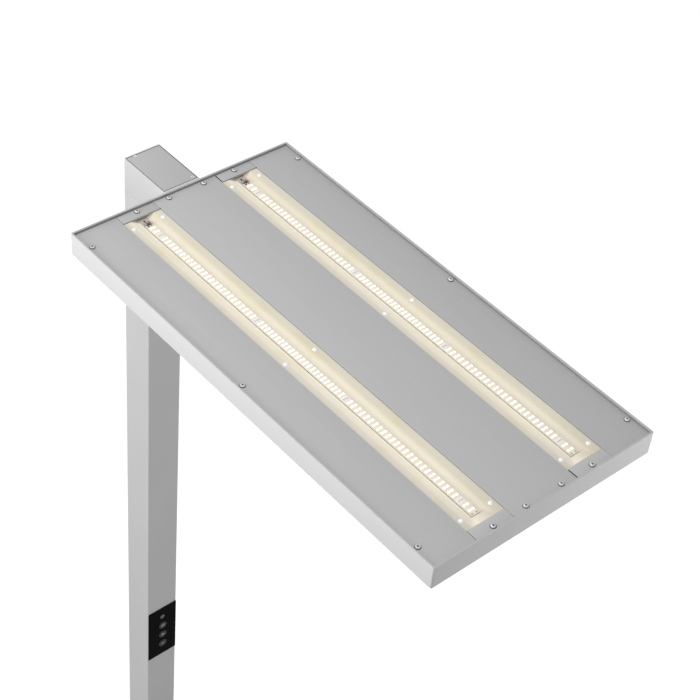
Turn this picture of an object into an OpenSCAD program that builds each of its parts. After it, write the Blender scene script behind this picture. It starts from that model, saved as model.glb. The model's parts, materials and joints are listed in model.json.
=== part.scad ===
// Office floor lamp: a slim rectangular luminaire head carried by a square post on a flat foot.
// X runs from the post towards the front of the head, Y across it and Z up from the floor.

/* [Whole lamp] */
// Height from the floor to the top edge of the head
lamp_h = 1950; // [1700:10:2200]
// Running clearance between neighbouring sheet edges
seam = 0.4; // [0.2:0.1:0.8]
// Clearance of a fastener in its hole
hole_gap = 0.05; // [0.02:0.01:0.1]

/* [Base] */
// Length of the foot plate, front to back
base_l = 440; // [380:10:560]
// Width of the foot plate
base_w = 300; // [260:10:400]
// Thickness of the foot plate
base_t = 10; // [8:1:14]
// Corner radius of the foot plate
base_r = 20; // [8:1:40]
// How far the foot plate reaches behind the post axis
base_back = 70; // [50:5:100]
// Radius of the corner pads
pad_r = 12; // [8:1:18]
// Thickness of the pads
pad_t = 2; // [1:0.5:4]
// Distance of each corner pad from the plate edges
pad_inset = 26; // [20:1:40]
// Radius of the pad below the post
centre_pad_r = 32; // [28:1:45]

/* [Post] */
// Outer width and depth of the square post
post_w = 52; // [44:1:60]
// Wall of the post
post_wall = 2.5; // [2:0.5:4]
// Outer corner radius of the post
post_r = 1.2; // [0.5:0.1:1.8]
// Height of the solid block inside the foot of the post
foot_block_h = 60; // [40:5:90]
// Diameter of the foot bolts
foot_bolt_d = 8; // [6:1:10]
// Length of the foot bolts
foot_bolt_l = 32; // [24:1:45]
// Distance of each foot bolt from the post axis, along X and Y
foot_bolt_reach = 13; // [11:1:14]
// Height of the cord gland above the floor
gland_z = 105; // [95:1:160]
// Radius of the gland's cord passage
gland_bore_r = 4; // [3:0.5:5]
// Radius of the gland's threaded body
gland_body_r = 7; // [6.5:0.5:8]
// Radius of the gland's outer collar
gland_collar_r = 10; // [9:0.5:12]
// Thickness of the gland's outer collar
gland_collar_t = 4; // [3:0.5:6]

/* [Arm] */
// Length of the arm box, from the back of the post to the head
arm_l = 85; // [70:1:110]
// Height of the arm box
arm_h = 49; // [44:1:60]
// How far the arm box lies below the top edge of the head
arm_drop = 0.6; // [0:0.1:3]
// Wall of the arm box
arm_wall = 2.5; // [2:0.5:4]
// Width of the arm's edge left beside the cap
cap_edge = 0.9; // [0.6:0.1:1.4]
// Width of the arm's edge behind the cap
cap_back_edge = 2.2; // [2:0.1:3]
// Width of the arm's edge in front of the cap
cap_front_edge = 3.3; // [3:0.1:5]
// Thickness of the cap
cap_t = 1.5; // [1:0.1:2]
// Joint width all round the cap
cap_gap = 0.3; // [0.2:0.1:0.5]
// Depth of the spigot that stands in the post
spigot_h = 70; // [50:5:100]
// Diameter of the vertical and horizontal cable ways in the arm
cable_way_d = 12; // [10:1:14]
// Distance from the head back to the grub screws
grub_x = 25.6; // [20:0.1:32]
// Depth of the grub screws below the head's top edge
grub_drop = 14.5; // [13:0.1:18]
// Diameter of the grub screws
grub_d = 5; // [4:1:6]

/* [Head] */
// Length of the head
head_l = 630; // [560:5:720]
// Width of the head
head_w = 320.5; // [300:0.5:360]
// Height of the head's edge
head_t = 31; // [29:0.5:38]
// Wall of the edge profile
rim_wall = 2.5; // [2:0.1:3]
// Outer corner radius of the edge profile
rim_r = 2.2; // [1:0.1:4]
// Depth of the top sheets below the edge
panel_recess = 3.1; // [3:0.1:6]
// Thickness of the top sheets
panel_t = 1; // [0.8:0.1:1.2]
// Reach of the upper ledge in from the outer face
ledge_w = 14; // [13:0.5:16]
// Thickness of the upper ledge
ledge_t = 1.5; // [1.2:0.1:2]
// Reach of the lower lip in from the outer face
lip_w = 9; // [7:0.5:12]
// Thickness of the lower lip
lip_t = 1.5; // [1.2:0.1:2]

/* [Light channels] */
// Distance of each channel's centre line from the middle of the head
channel_y = 72.25; // [68:0.25:80]
// Width of the channel opening
channel_w = 53; // [48:0.5:56]
// Distance from the back of the head to the opening
channel_back = 17.8; // [16:0.1:20]
// Distance from the front of the head to the opening
channel_front = 18.9; // [16:0.1:20]
// How far the tray's flanges reach below the neighbouring sheets
tray_flange = 6; // [4:0.5:8]
// Sheet thickness of the trays
tray_t = 1; // [0.8:0.1:1.2]
// Thickness of the reflector film
film_t = 0.4; // [0.3:0.05:0.6]
// Half width at which the reflector starts to slope down
film_flat_y = 17; // [15:0.5:18]
// Depth of the board's face below the top sheets
board_depth = 3.8; // [3.2:0.1:4.5]
// Length of each circuit board
board_l = 566; // [500:1:580]
// Width of each circuit board
board_w = 12; // [11:0.5:14]
// Thickness of each circuit board
board_t = 1.6; // [1:0.1:2]
// Gap between the board and the film's slot
board_gap = 0.3; // [0.2:0.1:0.6]
// Half width of the reflector's rear notch at the sheet edge
notch_half_w = 16.5; // [12:0.5:20]
// Length over which the rear notch narrows
notch_l = 9; // [6:0.5:11]

/* [Light sources] */
// Length of one light source, along the board
led_l = 2.8; // [2:0.1:3.5]
// Width of one light source, across the board
led_w = 3.4; // [2.5:0.1:3.8]
// Height of one light source
led_h = 0.7; // [0.5:0.1:1]
// Distance of each row from the board's centre line
led_row = 2.3; // [2.1:0.1:2.5]
// Distance of the outermost light sources from the ends of the board
end_pair_inset = 7.5; // [5:0.1:12]
// Pitch within each end pair
end_pair_pitch = 8.1; // [6:0.1:9]
// Gap from centre to centre between an end pair and its side run
end_run_gap = 16.2; // [12:0.1:22]
// Gap from centre to centre between a side run and the middle run
mid_run_gap = 13.9; // [10:0.1:20]
// Light sources in each side run
side_run_n = 25; // [15:1:30]
// Pitch of the middle run
mid_run_pitch = 6.11; // [5:0.01:6.5]
// Light sources in the middle run
mid_run_n = 24; // [14:1:24]

/* [Sheet fasteners] */
// Diameter of the sheet screws
screw_d = 4; // [3:1:4]
// Head diameter of the sheet screws
screw_head_d = 7.6; // [6.5:0.1:8]
// Head height of the sheet screws
screw_head_h = 2.2; // [1.6:0.1:2.4]
// Width across flats of the screw sockets
screw_socket = 2.5; // [2:0.5:3]
// Depth of the screw sockets
socket_depth = 1.3; // [1:0.1:1.4]
// Length of the sheet screws below their heads
screw_l = 5; // [4:0.5:8]
// Distance of the side screws from the long edges
side_screw_inset = 7.8; // [7:0.1:9]
// Distance of the corner screws from the ends
side_screw_end = 32.5; // [25:0.5:60]
// Distance of the end screws from the ends
end_screw_inset = 7.7; // [7:0.1:9]
// Distance of the middle sheet's screws from the centre line
mid_screw_y = 25.8; // [15:0.1:35]
// Radius of the rivet heads
rivet_r = 3; // [2.5:0.1:3.5]
// Height of the rivet heads
rivet_h = 1.6; // [1:0.1:2]
// Radius of the rivet shanks
rivet_shank_r = 1.5; // [1:0.1:2]
// Length of the rivet shanks
rivet_shank_l = 3.2; // [2.4:0.1:5]
// Distance of each rivet from the channel's centre line
rivet_y = 20.7; // [19.5:0.1:22]
// Distance of the end rivets from the back of the head
rivet_back = 32; // [25:0.5:40]
// Distance of the end rivets from the front of the head
rivet_front = 33; // [25:0.5:40]

/* [Downward light] */
// Thickness of the diffuser
diffuser_t = 2; // [1.5:0.1:3]
// Thickness of the light guide
guide_t = 4; // [3:0.5:5]
// Thickness of the white backing sheet
backing_t = 0.5; // [0.3:0.1:1]
// Thickness of the folded pan above the light guide
pan_t = 1; // [0.8:0.1:1.5]
// Thickness of the edge light strips
strip_t = 1.5; // [1:0.1:2]

/* [Controls] */
// Distance from the head's top edge down to the control panel
control_drop = 835; // [700:5:1000]
// Height of the control panel
control_h = 112; // [100:1:140]
// How far the control panel stands out of the post
fascia_t = 1.2; // [0.8:0.1:2]
// Width of the housing behind the control panel
control_box_w = 36; // [30:1:40]
// Depth of the housing behind the control panel
control_box_d = 18; // [15:1:22]
// Wall of the control housing
control_wall = 1.5; // [1.2:0.1:2]
// Radius of the push buttons
button_r = 7; // [5:0.5:8]
// Pitch of the push buttons
button_pitch = 22; // [20:1:26]
// Distance from the panel's top edge to the upper button
button_top = 40; // [36:1:44]
// How far a button stands out of the panel
button_proud = 1.6; // [1.2:0.1:2.5]
// Travel of a button
button_travel = 0.8; // [0.5:0.1:1]
// Clearance round a button
button_gap = 0.35; // [0.3:0.05:0.5]
// Width of a button's retaining flange
button_flange = 1.4; // [1:0.1:1.8]
// Thickness of a button's retaining flange
button_flange_t = 1; // [0.8:0.1:1.2]

/* [Hidden] */
$fn = 48;

// Overrun that lets a cut pass its face
cut = 1;
left = -1;
right = 1;
hexagon = 6;

// Base and post
base_top = pad_t + base_t;
post_half = post_w / 2;
post_in = post_half - post_wall;
arm_top = lamp_h - arm_drop;
arm_bottom = arm_top - arm_h;
bolt_head_h = foot_bolt_d / 2;
countersunk_r = 4;
countersunk_h = 1.6;
small_screw_r = 2;
small_screw_l = 9;
gland_nut_t = 5;
gland_tail = 1;
gland_x1 = -post_in + gland_nut_t + gland_tail;
gland_gap = 3;
screw_pair_pitch = 20;
foot_screw_zs = [for (s = [left, right]) base_top + foot_block_h / 2 + s * screw_pair_pitch / 2];

// Head planes, from the top down
head_x0 = arm_l - post_half;
head_x1 = head_x0 + head_l;
head_mid = (head_x0 + head_x1) / 2;
head_bottom = lamp_h - head_t;
half_w = head_w / 2;
panel_z = lamp_h - panel_recess;
ledge_z = panel_z - panel_t;
board_z = panel_z - board_depth;
tray_floor = board_z - board_t;
film_z = panel_z - panel_t;
pan_floor = head_bottom + lip_t + diffuser_t + guide_t + backing_t + pan_t;
pan_top = ledge_z - ledge_t;
channel_in = channel_y - channel_w / 2;
channel_out = channel_y + channel_w / 2;
opening_x0 = head_x0 + channel_back;
opening_x1 = head_x1 - channel_front;
slot_half = board_w / 2 + board_gap;
slot_x0 = head_mid - board_l / 2 - board_gap;
slot_x1 = head_mid + board_l / 2 + board_gap;
tray_x0 = head_x0 + ledge_w + seam;
tray_x1 = head_x1 - ledge_w - seam;

// Bracket that joins the arm to the head
prong_w = 12;
prong_h = 11;
prong_gap = 14;
prong_short = 22;
prong_back = arm_l - prong_short;
bracket_t = 3;
bracket_screw_pitch = 44;
bracket_end = 32;
bracket_w = 4 * bracket_screw_pitch + 2 * bracket_end;
bracket_z0 = pan_floor;
bracket_way_r = 5;
core_side = post_in - hole_gap;
bracket_mid_z = bracket_z0 + prong_h / 2;

// Cap screws, one at the back and one at the front
cap_screw_back = 4.7;
cap_screw_left = 13;
cap_screw_front = 8.2;
cap_screw_right = 5.4;
cap_screw_places = [[-post_half + cap_screw_back, -post_half + cap_screw_left],
    [head_x0 - cap_screw_front, post_half - cap_screw_right]];
cap_screw_r = 1.5;
cap_screw_head_r = 2.1;
cap_screw_l = 7;
cap_boss_r = 3.4;
cap_boss_h = 9;

// Drivers in the post
rail_t = 2;
rail_w = 34;
rail_rise = 120;
rail_z0 = base_top + foot_block_h + rail_rise;
driver_l = 359;
driver_w = 30;
driver_d = 21;
driver_gap = 40;
direct_z = rail_z0 + driver_gap;
control_top = lamp_h - control_drop;
control_z0 = control_top - control_h;
indirect_z = control_top + driver_gap;
rail_z1 = indirect_z + driver_l + driver_gap;
driver_back_x = -post_in + rail_t;
tab_l = 8;
tab_t = 2;
pan_head_r = 3;

// Controls
fascia_edge = 0.3;
housing_margin = 8;
housing_z0 = control_z0 + housing_margin;
housing_z1 = control_top - housing_margin;
fascia_x0 = post_half;
fascia_x1 = post_half + fascia_t;
board_x1 = post_half - control_box_d / 2;
control_board_t = 1.6;
switch_w = 6;
switch_h = 3.5;
stem_r = 2.2;
stem_over = 0.08;
stem_gap = button_travel + stem_over;
flange_x1 = fascia_x0;
buttons_z = [for (i = [0:2]) control_top - button_top - i * button_pitch];
window_r = 4;
window_z = control_top - button_top / 2;
window_proud = 0.4;

// Circular and rectangular helpers

module block(x0, x1, y0, y1, z0, z1) {
    translate([x0, y0, z0]) cube([x1 - x0, y1 - y0, z1 - z0]);
}

module round_rect(x0, x1, y0, y1, r) {
    translate([x0 + r, y0]) square([x1 - x0 - 2 * r, y1 - y0]);
    translate([x0, y0 + r]) square([x1 - x0, y1 - y0 - 2 * r]);
    for (x = [x0 + r, x1 - r], y = [y0 + r, y1 - r]) translate([x, y]) circle(r);
}

module round_slab(x0, x1, y0, y1, z0, z1, r) {
    translate([0, 0, z0]) linear_extrude(z1 - z0) round_rect(x0, x1, y0, y1, r);
}

module rod_x(x0, x1, y, z, r) {
    translate([x0, y, z]) rotate([0, 90, 0]) cylinder(h = x1 - x0, r = r);
}

module rod_y(x, y0, y1, z, r) {
    translate([x, y0, z]) rotate([-90, 0, 0]) cylinder(h = y1 - y0, r = r);
}

module rod_z(x, y, z0, z1, r) {
    translate([x, y, z0]) cylinder(h = z1 - z0, r = r);
}

// Countersunk screw whose head face is at the origin and whose shank points to +Z
module countersunk(head_r, head_h, r, l) {
    rotate_extrude() polygon([[0, 0], [head_r, 0], [r, head_h], [r, l], [0, l]]);
}

// Route helpers: corners are rounded, then a tube is swept along the points
bend_steps = 5;
function unit(v) = v / norm(v);
function blend(a, b, c, t) = (1 - t) * (1 - t) * a + 2 * t * (1 - t) * b + t * t * c;
function rounded(p, r) = concat([p[0]],
    [for (i = [1:len(p) - 2])
        let (a = p[i] - r * unit(p[i] - p[i - 1]), c = p[i] + r * unit(p[i + 1] - p[i]))
        for (k = [0:bend_steps]) blend(a, p[i], c, k / bend_steps)],
    [p[len(p) - 1]]);
function tangent(p, i) = unit(p[min(i + 1, len(p) - 1)] - p[max(i - 1, 0)]);
function across(n, t) = unit(n - (n * t) * t);
function side_of(t) = abs(t.z) > abs(t.x) ? [1, 0, 0] : [0, 0, 1];
function carried(p, i = 0, out = []) = i == len(p) ? out
    : carried(p, i + 1, concat(out, [across(i == 0 ? side_of(tangent(p, 0)) : out[i - 1],
        tangent(p, i))]));

module tube(p, r, sides) {
    n = carried(p);
    points = [for (i = [0:len(p) - 1]) for (k = [0:sides - 1])
        let (a = 360 * k / sides, b = cross(tangent(p, i), n[i]))
        p[i] + r * (cos(a) * n[i] + sin(a) * b)];
    last = (len(p) - 1) * sides;
    skin = [for (i = [0:len(p) - 2]) for (k = [0:sides - 1])
        let (a = i * sides + k, b = i * sides + (k + 1) % sides)
        [a, a + sides, b + sides, b]];
    caps = [[for (k = [0:sides - 1]) k], [for (k = [sides - 1:-1:0]) last + k]];
    polyhedron(points, concat(skin, caps), convexity = 4);
}

// Base

pad_xs = [-base_back + pad_inset, base_l - base_back - pad_inset];
pad_ys = [-base_w / 2 + pad_inset, base_w / 2 - pad_inset];
bolt_places = [for (x = [left, right], y = [left, right]) foot_bolt_reach * [x, y]];

module base_plate() {
    color([0.72, 0.72, 0.72]) difference() {
        round_slab(-base_back, base_l - base_back, -base_w / 2, base_w / 2, pad_t, base_top, base_r);
        for (p = bolt_places) {
            rod_z(p.x, p.y, pad_t - cut, base_top + cut, foot_bolt_d / 2 + hole_gap);
            translate([p.x, p.y, pad_t])
                countersunk(foot_bolt_d + hole_gap, bolt_head_h, foot_bolt_d / 2 + hole_gap, base_t);
        }
    }
}

module base_pads() {
    color([0.12, 0.12, 0.12]) for (x = pad_xs, y = pad_ys) rod_z(x, y, 0, pad_t, pad_r);
}

module centre_pad() {
    color([0.12, 0.12, 0.12]) rod_z(0, 0, 0, pad_t, centre_pad_r);
}

module foot_block() {
    color([0.6, 0.6, 0.62]) difference() {
        block(-core_side, core_side, -core_side, core_side, base_top, base_top + foot_block_h);
        for (p = bolt_places)
            rod_z(p.x, p.y, base_top - cut, pad_t + foot_bolt_l + cut, foot_bolt_d / 2 + hole_gap);
        for (z = foot_screw_zs)
            rod_x(-core_side - cut, -post_half + small_screw_l + cut, 0, z, small_screw_r + hole_gap);
    }
}

module foot_bolts() {
    color([0.45, 0.45, 0.47]) for (p = bolt_places) translate([p.x, p.y, pad_t])
        countersunk(foot_bolt_d, bolt_head_h, foot_bolt_d / 2, foot_bolt_l);
}

// Post

module post() {
    color([0.76, 0.76, 0.76]) difference() {
        round_slab(-post_half, post_half, -post_half, post_half, base_top, arm_bottom, post_r);
        block(-post_in, post_in, -post_in, post_in, base_top - cut, arm_bottom + cut);
        block(0, post_half + cut, -control_box_w / 2, control_box_w / 2, housing_z0, housing_z1);
        rod_x(-post_half - cut, 0, 0, gland_z, gland_body_r + hole_gap);
        back_screw_holes(foot_screw_zs);
        back_screw_holes(spigot_screw_zs);
    }
}

module back_screw_holes(zs) {
    for (z = zs) translate([-post_half, 0, z]) rotate([0, 90, 0])
        countersunk(countersunk_r + hole_gap, countersunk_h, small_screw_r + hole_gap,
            post_wall + cut);
}

module back_screws(zs) {
    for (z = zs) translate([-post_half, 0, z]) rotate([0, 90, 0])
        countersunk(countersunk_r, countersunk_h, small_screw_r, small_screw_l);
}

module post_foot_screws() {
    color([0.5, 0.5, 0.52]) back_screws(foot_screw_zs);
}

module cord_gland() {
    color([0.1, 0.1, 0.1]) difference() {
        union() {
            rod_x(-post_half - gland_collar_t, -post_half, 0, gland_z, gland_collar_r);
            rod_x(-post_half - gland_collar_t, gland_x1, 0, gland_z, gland_body_r);
        }
        rod_x(-post_half - gland_collar_t - cut, post_in, 0, gland_z, gland_bore_r);
    }
}

module gland_nut() {
    color([0.14, 0.14, 0.14]) difference() {
        translate([-post_in, 0, gland_z]) rotate([0, 90, 0])
            cylinder(h = gland_nut_t, r = gland_collar_r, $fn = hexagon);
        rod_x(-post_in - cut, post_in, 0, gland_z, gland_body_r + hole_gap);
    }
}

// Drivers and wiring in the post

// Heights of the two screws of the driver that starts at z
function tab_screws(z) = [z - tab_l / 2, z + driver_l + tab_l / 2];
driver_screw_zs = concat(tab_screws(direct_z), tab_screws(indirect_z));

module driver_rail() {
    color([0.75, 0.75, 0.72]) difference() {
        block(-post_in, driver_back_x, -rail_w / 2, rail_w / 2, rail_z0, rail_z1);
        for (z = driver_screw_zs)
            rod_x(-post_in - cut, driver_back_x + cut, 0, z, small_screw_r + hole_gap);
    }
}

module driver(z) {
    color([0.92, 0.92, 0.9]) difference() {
        union() {
            block(driver_back_x, driver_back_x + driver_d, -driver_w / 2, driver_w / 2, z, z + driver_l);
            block(driver_back_x, driver_back_x + tab_t, -driver_w / 4, driver_w / 4,
                z - tab_l, z + driver_l + tab_l);
        }
        for (hole_z = tab_screws(z))
            rod_x(driver_back_x - cut, driver_back_x + tab_t + cut, 0, hole_z, small_screw_r + hole_gap);
    }
}

module direct_driver() { driver(direct_z); }
module indirect_driver() { driver(indirect_z); }

module driver_screws() {
    color([0.6, 0.6, 0.62]) for (z = driver_screw_zs) {
        rod_x(driver_back_x + tab_t, driver_back_x + tab_t + countersunk_h, 0, z, pan_head_r);
        rod_x(-post_in + seam, driver_back_x + tab_t + seam, 0, z, small_screw_r);
    }
}

cable_r = 3;
cable_sides = 10;
cable_bend = 12;
cable_lane_x = 6;
cable_turn_l = 30;
driver_face_x = driver_back_x + driver_d / 2;

module mains_cable() {
    color([0.15, 0.15, 0.15]) tube(rounded([
        [gland_x1 + gland_gap, 0, gland_z],
        [cable_lane_x, 0, gland_z],
        [cable_lane_x, 0, direct_z - 2 * cable_turn_l],
        [driver_face_x, 0, direct_z - cable_turn_l],
        [driver_face_x, 0, direct_z]], cable_bend), cable_r, cable_sides);
}

module head_cable() {
    color([0.85, 0.85, 0.85]) tube(rounded([
        [driver_face_x, 0, indirect_z + driver_l],
        [driver_face_x, 0, rail_z1 + cable_turn_l],
        [0, 0, rail_z1 + 2 * cable_turn_l],
        [0, 0, bracket_mid_z],
        [terminal_x0, 0, bracket_mid_z]], cable_bend), cable_r, cable_sides);
}

module control_cable() {
    color([0.2, 0.2, 0.2]) tube(rounded([
        [post_half - control_box_d, 0, (housing_z0 + housing_z1) / 2],
        [driver_face_x, 0, (housing_z0 + housing_z1) / 2],
        [driver_face_x, 0, indirect_z]], cable_bend), cable_r / 2, cable_sides);
}

// Controls on the front of the post

module control_housing() {
    gap = seam / 2;
    color([0.08, 0.08, 0.08]) difference() {
        block(post_half - control_box_d, post_half, -control_box_w / 2 + gap, control_box_w / 2 - gap,
            housing_z0 + gap, housing_z1 - gap);
        block(post_half - control_box_d + control_wall, post_half + cut,
            -control_box_w / 2 + gap + control_wall, control_box_w / 2 - gap - control_wall,
            housing_z0 + gap + control_wall, housing_z1 - gap - control_wall);
        rod_x(0, post_half - control_box_d + control_wall + cut, 0, (housing_z0 + housing_z1) / 2,
            cable_r);
    }
}

module control_fascia() {
    color([0.04, 0.04, 0.04]) difference() {
        block(fascia_x0, fascia_x1, -post_half + fascia_edge, post_half - fascia_edge,
            control_z0, control_top);
        for (z = buttons_z) rod_x(fascia_x0 - cut, fascia_x1 + cut, 0, z, button_r + button_gap);
        rod_x(fascia_x0 - cut, fascia_x1 + cut, 0, window_z, window_r);
    }
}

module control_board() {
    side = control_box_w / 2 - seam / 2 - control_wall;
    color([0.1, 0.35, 0.2])
        block(board_x1 - control_board_t, board_x1, -side, side,
            housing_z0 + seam / 2 + control_wall, housing_z1 - seam / 2 - control_wall);
}

module tact_switches() {
    color([0.25, 0.25, 0.25]) for (z = buttons_z)
        block(board_x1, board_x1 + switch_h, -switch_w / 2, switch_w / 2,
            z - switch_w / 2, z + switch_w / 2);
}

module sensor_window() {
    color([0.2, 0.05, 0.06])
        rod_x(board_x1, fascia_x1 + window_proud, 0, window_z, window_r - hole_gap);
}

module button(i) {
    z = buttons_z[i];
    color([0.16, 0.16, 0.16]) union() {
        rod_x(flange_x1 - button_flange_t, fascia_x1 + button_proud, 0, z, button_r);
        rod_x(flange_x1 - button_flange_t, flange_x1, 0, z, button_r + button_flange);
        rod_x(board_x1 + switch_h + stem_gap, flange_x1, 0, z, stem_r);
    }
}

module button_power() { button(0); }
module button_brighter() { button(1); }
module button_dimmer() { button(2); }

// Arm between the post and the head

core_x0 = -core_side;
slot_h = prong_h + 2 * seam;
slot_w = prong_gap + 2 * prong_w + 2 * seam;
spigot_screw_zs = [for (s = [left, right]) arm_bottom - spigot_h / 2 + s * screw_pair_pitch / 2];
cap_x0 = -post_half + cap_back_edge;
cap_x1 = head_x0 - cap_front_edge;
cap_y = post_half - cap_edge;
sensor_r = 6;
sensor_h = 3;
sensor_dome_share = 2;
sensor_x = head_x0 / 2 + post_half / 2;

module arm_housing() {
    color([0.76, 0.76, 0.76]) difference() {
        union() {
            difference() {
                round_slab(-post_half, head_x0 + 2 * post_r, -post_half, post_half,
                    arm_bottom, arm_top, post_r);
                block(-post_half + arm_wall, head_x0 + 2 * post_r + cut, -post_half + arm_wall,
                    post_half - arm_wall, arm_bottom + arm_wall, arm_top + cut);
                block(head_x0, head_x0 + 2 * post_r + cut, -post_w, post_w,
                    arm_bottom - cut, arm_top + cut);
            }
            for (p = cap_screw_places) rod_z(p.x, p.y, arm_top - cap_boss_h, arm_top, cap_boss_r);
            block(head_x0 - cap_front_edge, head_x0, -post_half + arm_wall, post_half - arm_wall,
                arm_top - cap_t, arm_top);
        }
        block(cap_x0, cap_x1, -cap_y, cap_y, arm_top - cap_t, arm_top + cut);
        block(-core_side, core_side, -core_side, core_side, arm_bottom - cut, arm_bottom + arm_wall + cut);
        for (p = cap_screw_places)
            rod_z(p.x, p.y, arm_top - cap_boss_h - cut, arm_top, cap_screw_r + hole_gap);
        rod_y(head_x0 - grub_x, -post_w, post_w, lamp_h - grub_drop, grub_d / 2 + hole_gap);
        rod_z(sensor_x, 0, arm_bottom - cut, arm_bottom + arm_wall + cut, sensor_r + hole_gap);
    }
}

module arm_core() {
    color([0.62, 0.62, 0.64]) difference() {
        union() {
            block(core_x0, core_side, -core_side, core_side, arm_bottom - spigot_h, arm_bottom + arm_wall);
            block(core_x0 + 2 * cap_boss_r, head_x0, -post_half + arm_wall + hole_gap,
                post_half - arm_wall - hole_gap, arm_bottom + arm_wall, arm_top - cap_boss_h - seam);
        }
        block(head_x0 - prong_back, head_x0 + cut, -slot_w / 2, slot_w / 2,
            bracket_z0 - seam, bracket_z0 + slot_h);
        rod_z(0, 0, arm_bottom - spigot_h - cut, bracket_mid_z, cable_way_d / 2);
        rod_y(head_x0 - grub_x, -post_w, post_w, lamp_h - grub_drop, grub_d / 2 + hole_gap);
        rod_z(sensor_x, 0, arm_bottom, arm_bottom + arm_wall + sensor_h + cut, sensor_r + hole_gap);
        for (z = spigot_screw_zs)
            rod_x(core_x0 - cut, -post_half + small_screw_l + cut, 0, z, small_screw_r + hole_gap);
    }
}

module arm_cap() {
    color([0.73, 0.73, 0.73]) difference() {
        block(cap_x0 + cap_gap, cap_x1 - cap_gap, -cap_y + cap_gap, cap_y - cap_gap,
            arm_top - cap_t, arm_top);
        for (p = cap_screw_places) translate([p.x, p.y, arm_top]) rotate([180, 0, 0])
            countersunk(cap_screw_head_r + hole_gap, cap_t / 2, cap_screw_r + hole_gap, cap_t + cut);
    }
}

module cap_screws() {
    color([0.85, 0.85, 0.85]) for (p = cap_screw_places) translate([p.x, p.y, arm_top])
        rotate([180, 0, 0]) countersunk(cap_screw_head_r, cap_t / 2, cap_screw_r, cap_screw_l);
}

module grub_screws() {
    color([0.3, 0.3, 0.32]) for (s = [left, right]) difference() {
        rod_y(head_x0 - grub_x, s > 0 ? slot_w / 2 - seam : -post_half + seam,
            s > 0 ? post_half - seam : -slot_w / 2 + seam, lamp_h - grub_drop, grub_d / 2);
        translate([head_x0 - grub_x, s * (post_half - seam), lamp_h - grub_drop])
            rotate([s * 90, 0, 0]) translate([0, 0, -cut])
            cylinder(h = grub_d / 2 + cut, r = grub_d / 4, $fn = hexagon);
    }
}

module spigot_screws() {
    color([0.5, 0.5, 0.52]) back_screws(spigot_screw_zs);
}

module presence_sensor() {
    color([0.9, 0.9, 0.88]) intersection() {
        rod_z(sensor_x, 0, arm_bottom - sensor_h / 2, arm_bottom + arm_wall + sensor_h, sensor_r);
        translate([sensor_x, 0, arm_bottom - sensor_h / 2 + sensor_r * sensor_dome_share])
            sphere(sensor_r * sensor_dome_share, $fn = 64);
    }
}

// Bracket and edge profile of the head

terminal_back = 30;
terminal_x0 = head_x0 + terminal_back;
terminal_l = 22;
terminal_w = 26;
terminal_h = 10;
bracket_x0 = head_x0 + rim_wall + pan_t + seam;
bracket_screw_ys = [for (i = [-2:2]) if (i != 0) i * bracket_screw_pitch];

module head_bracket() {
    color([0.55, 0.55, 0.57]) difference() {
        union() {
            for (s = [left, right])
                block(head_x0 - prong_back + seam, bracket_x0,
                    s > 0 ? prong_gap / 2 : -prong_gap / 2 - prong_w,
                    s > 0 ? prong_gap / 2 + prong_w : -prong_gap / 2, bracket_z0, bracket_z0 + prong_h);
            block(bracket_x0, bracket_x0 + bracket_t, -bracket_w / 2, bracket_w / 2,
                bracket_z0, bracket_z0 + prong_h);
        }
        rod_x(head_x0, bracket_x0 + bracket_t + cut, 0, bracket_mid_z, bracket_way_r);
        for (y = bracket_screw_ys)
            rod_x(head_x0, bracket_x0 + bracket_t + cut, y, bracket_mid_z, small_screw_r + hole_gap);
    }
}

module bracket_screws() {
    color([0.5, 0.5, 0.52]) for (y = bracket_screw_ys) {
        rod_x(head_x0 + seam, bracket_x0 + bracket_t, y, bracket_mid_z, small_screw_r);
        rod_x(bracket_x0 + bracket_t, bracket_x0 + bracket_t + countersunk_h, y, bracket_mid_z,
            2 * small_screw_r - hole_gap);
    }
}

// Ring of the head's outline, from one inset to another
module head_ring(from, to, z0, z1) {
    translate([0, 0, z0]) linear_extrude(z1 - z0) difference() {
        round_rect(head_x0 + from, head_x1 - from, -half_w + from, half_w - from,
            max(rim_r - from, seam));
        translate([head_x0 + to, -half_w + to]) square([head_l - 2 * to, head_w - 2 * to]);
    }
}

side_screws = [for (s = [left, right], x = [head_x0 + side_screw_end, head_mid, head_x1 - side_screw_end])
    [x, s * (half_w - side_screw_inset)]];
mid_screws = [for (s = [left, right], x = [head_x0 + end_screw_inset, head_x1 - end_screw_inset])
    [x, s * mid_screw_y]];
tray_screws = [for (s = [left, right], x = [head_x0 + end_screw_inset, head_x1 - end_screw_inset])
    [x, s * channel_y]];
sheet_screws = concat(side_screws, mid_screws, tray_screws);

module bracket_opening() {
    block(head_x0 - cut, head_x0 + rim_wall + 2 * pan_t, -slot_w / 2, slot_w / 2,
        bracket_z0 - seam / 2, bracket_z0 + slot_h - seam);
    for (y = bracket_screw_ys)
        rod_x(head_x0 - cut, head_x0 + rim_wall + 2 * pan_t, y, bracket_mid_z, small_screw_r + hole_gap);
}

module head_frame() {
    color([0.78, 0.78, 0.78]) difference() {
        union() {
            head_ring(0, rim_wall, head_bottom, lamp_h);
            head_ring(rim_wall / 2, ledge_w, ledge_z - ledge_t, ledge_z);
            head_ring(rim_wall / 2, lip_w, head_bottom, head_bottom + lip_t);
        }
        for (p = sheet_screws) rod_z(p.x, p.y, pan_top - cut, panel_z, screw_d / 2 + hole_gap);
        bracket_opening();
    }
}

pan_x0 = head_x0 + rim_wall;
pan_x1 = head_x1 - rim_wall;
pan_y = half_w - rim_wall;

module light_pan() {
    color([0.8, 0.8, 0.8]) difference() {
        block(pan_x0, pan_x1, -pan_y, pan_y, pan_floor - pan_t, pan_top);
        block(pan_x0 + pan_t, pan_x1 - pan_t, -pan_y + pan_t, pan_y - pan_t, pan_floor, pan_top + cut);
        bracket_opening();
    }
}

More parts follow.
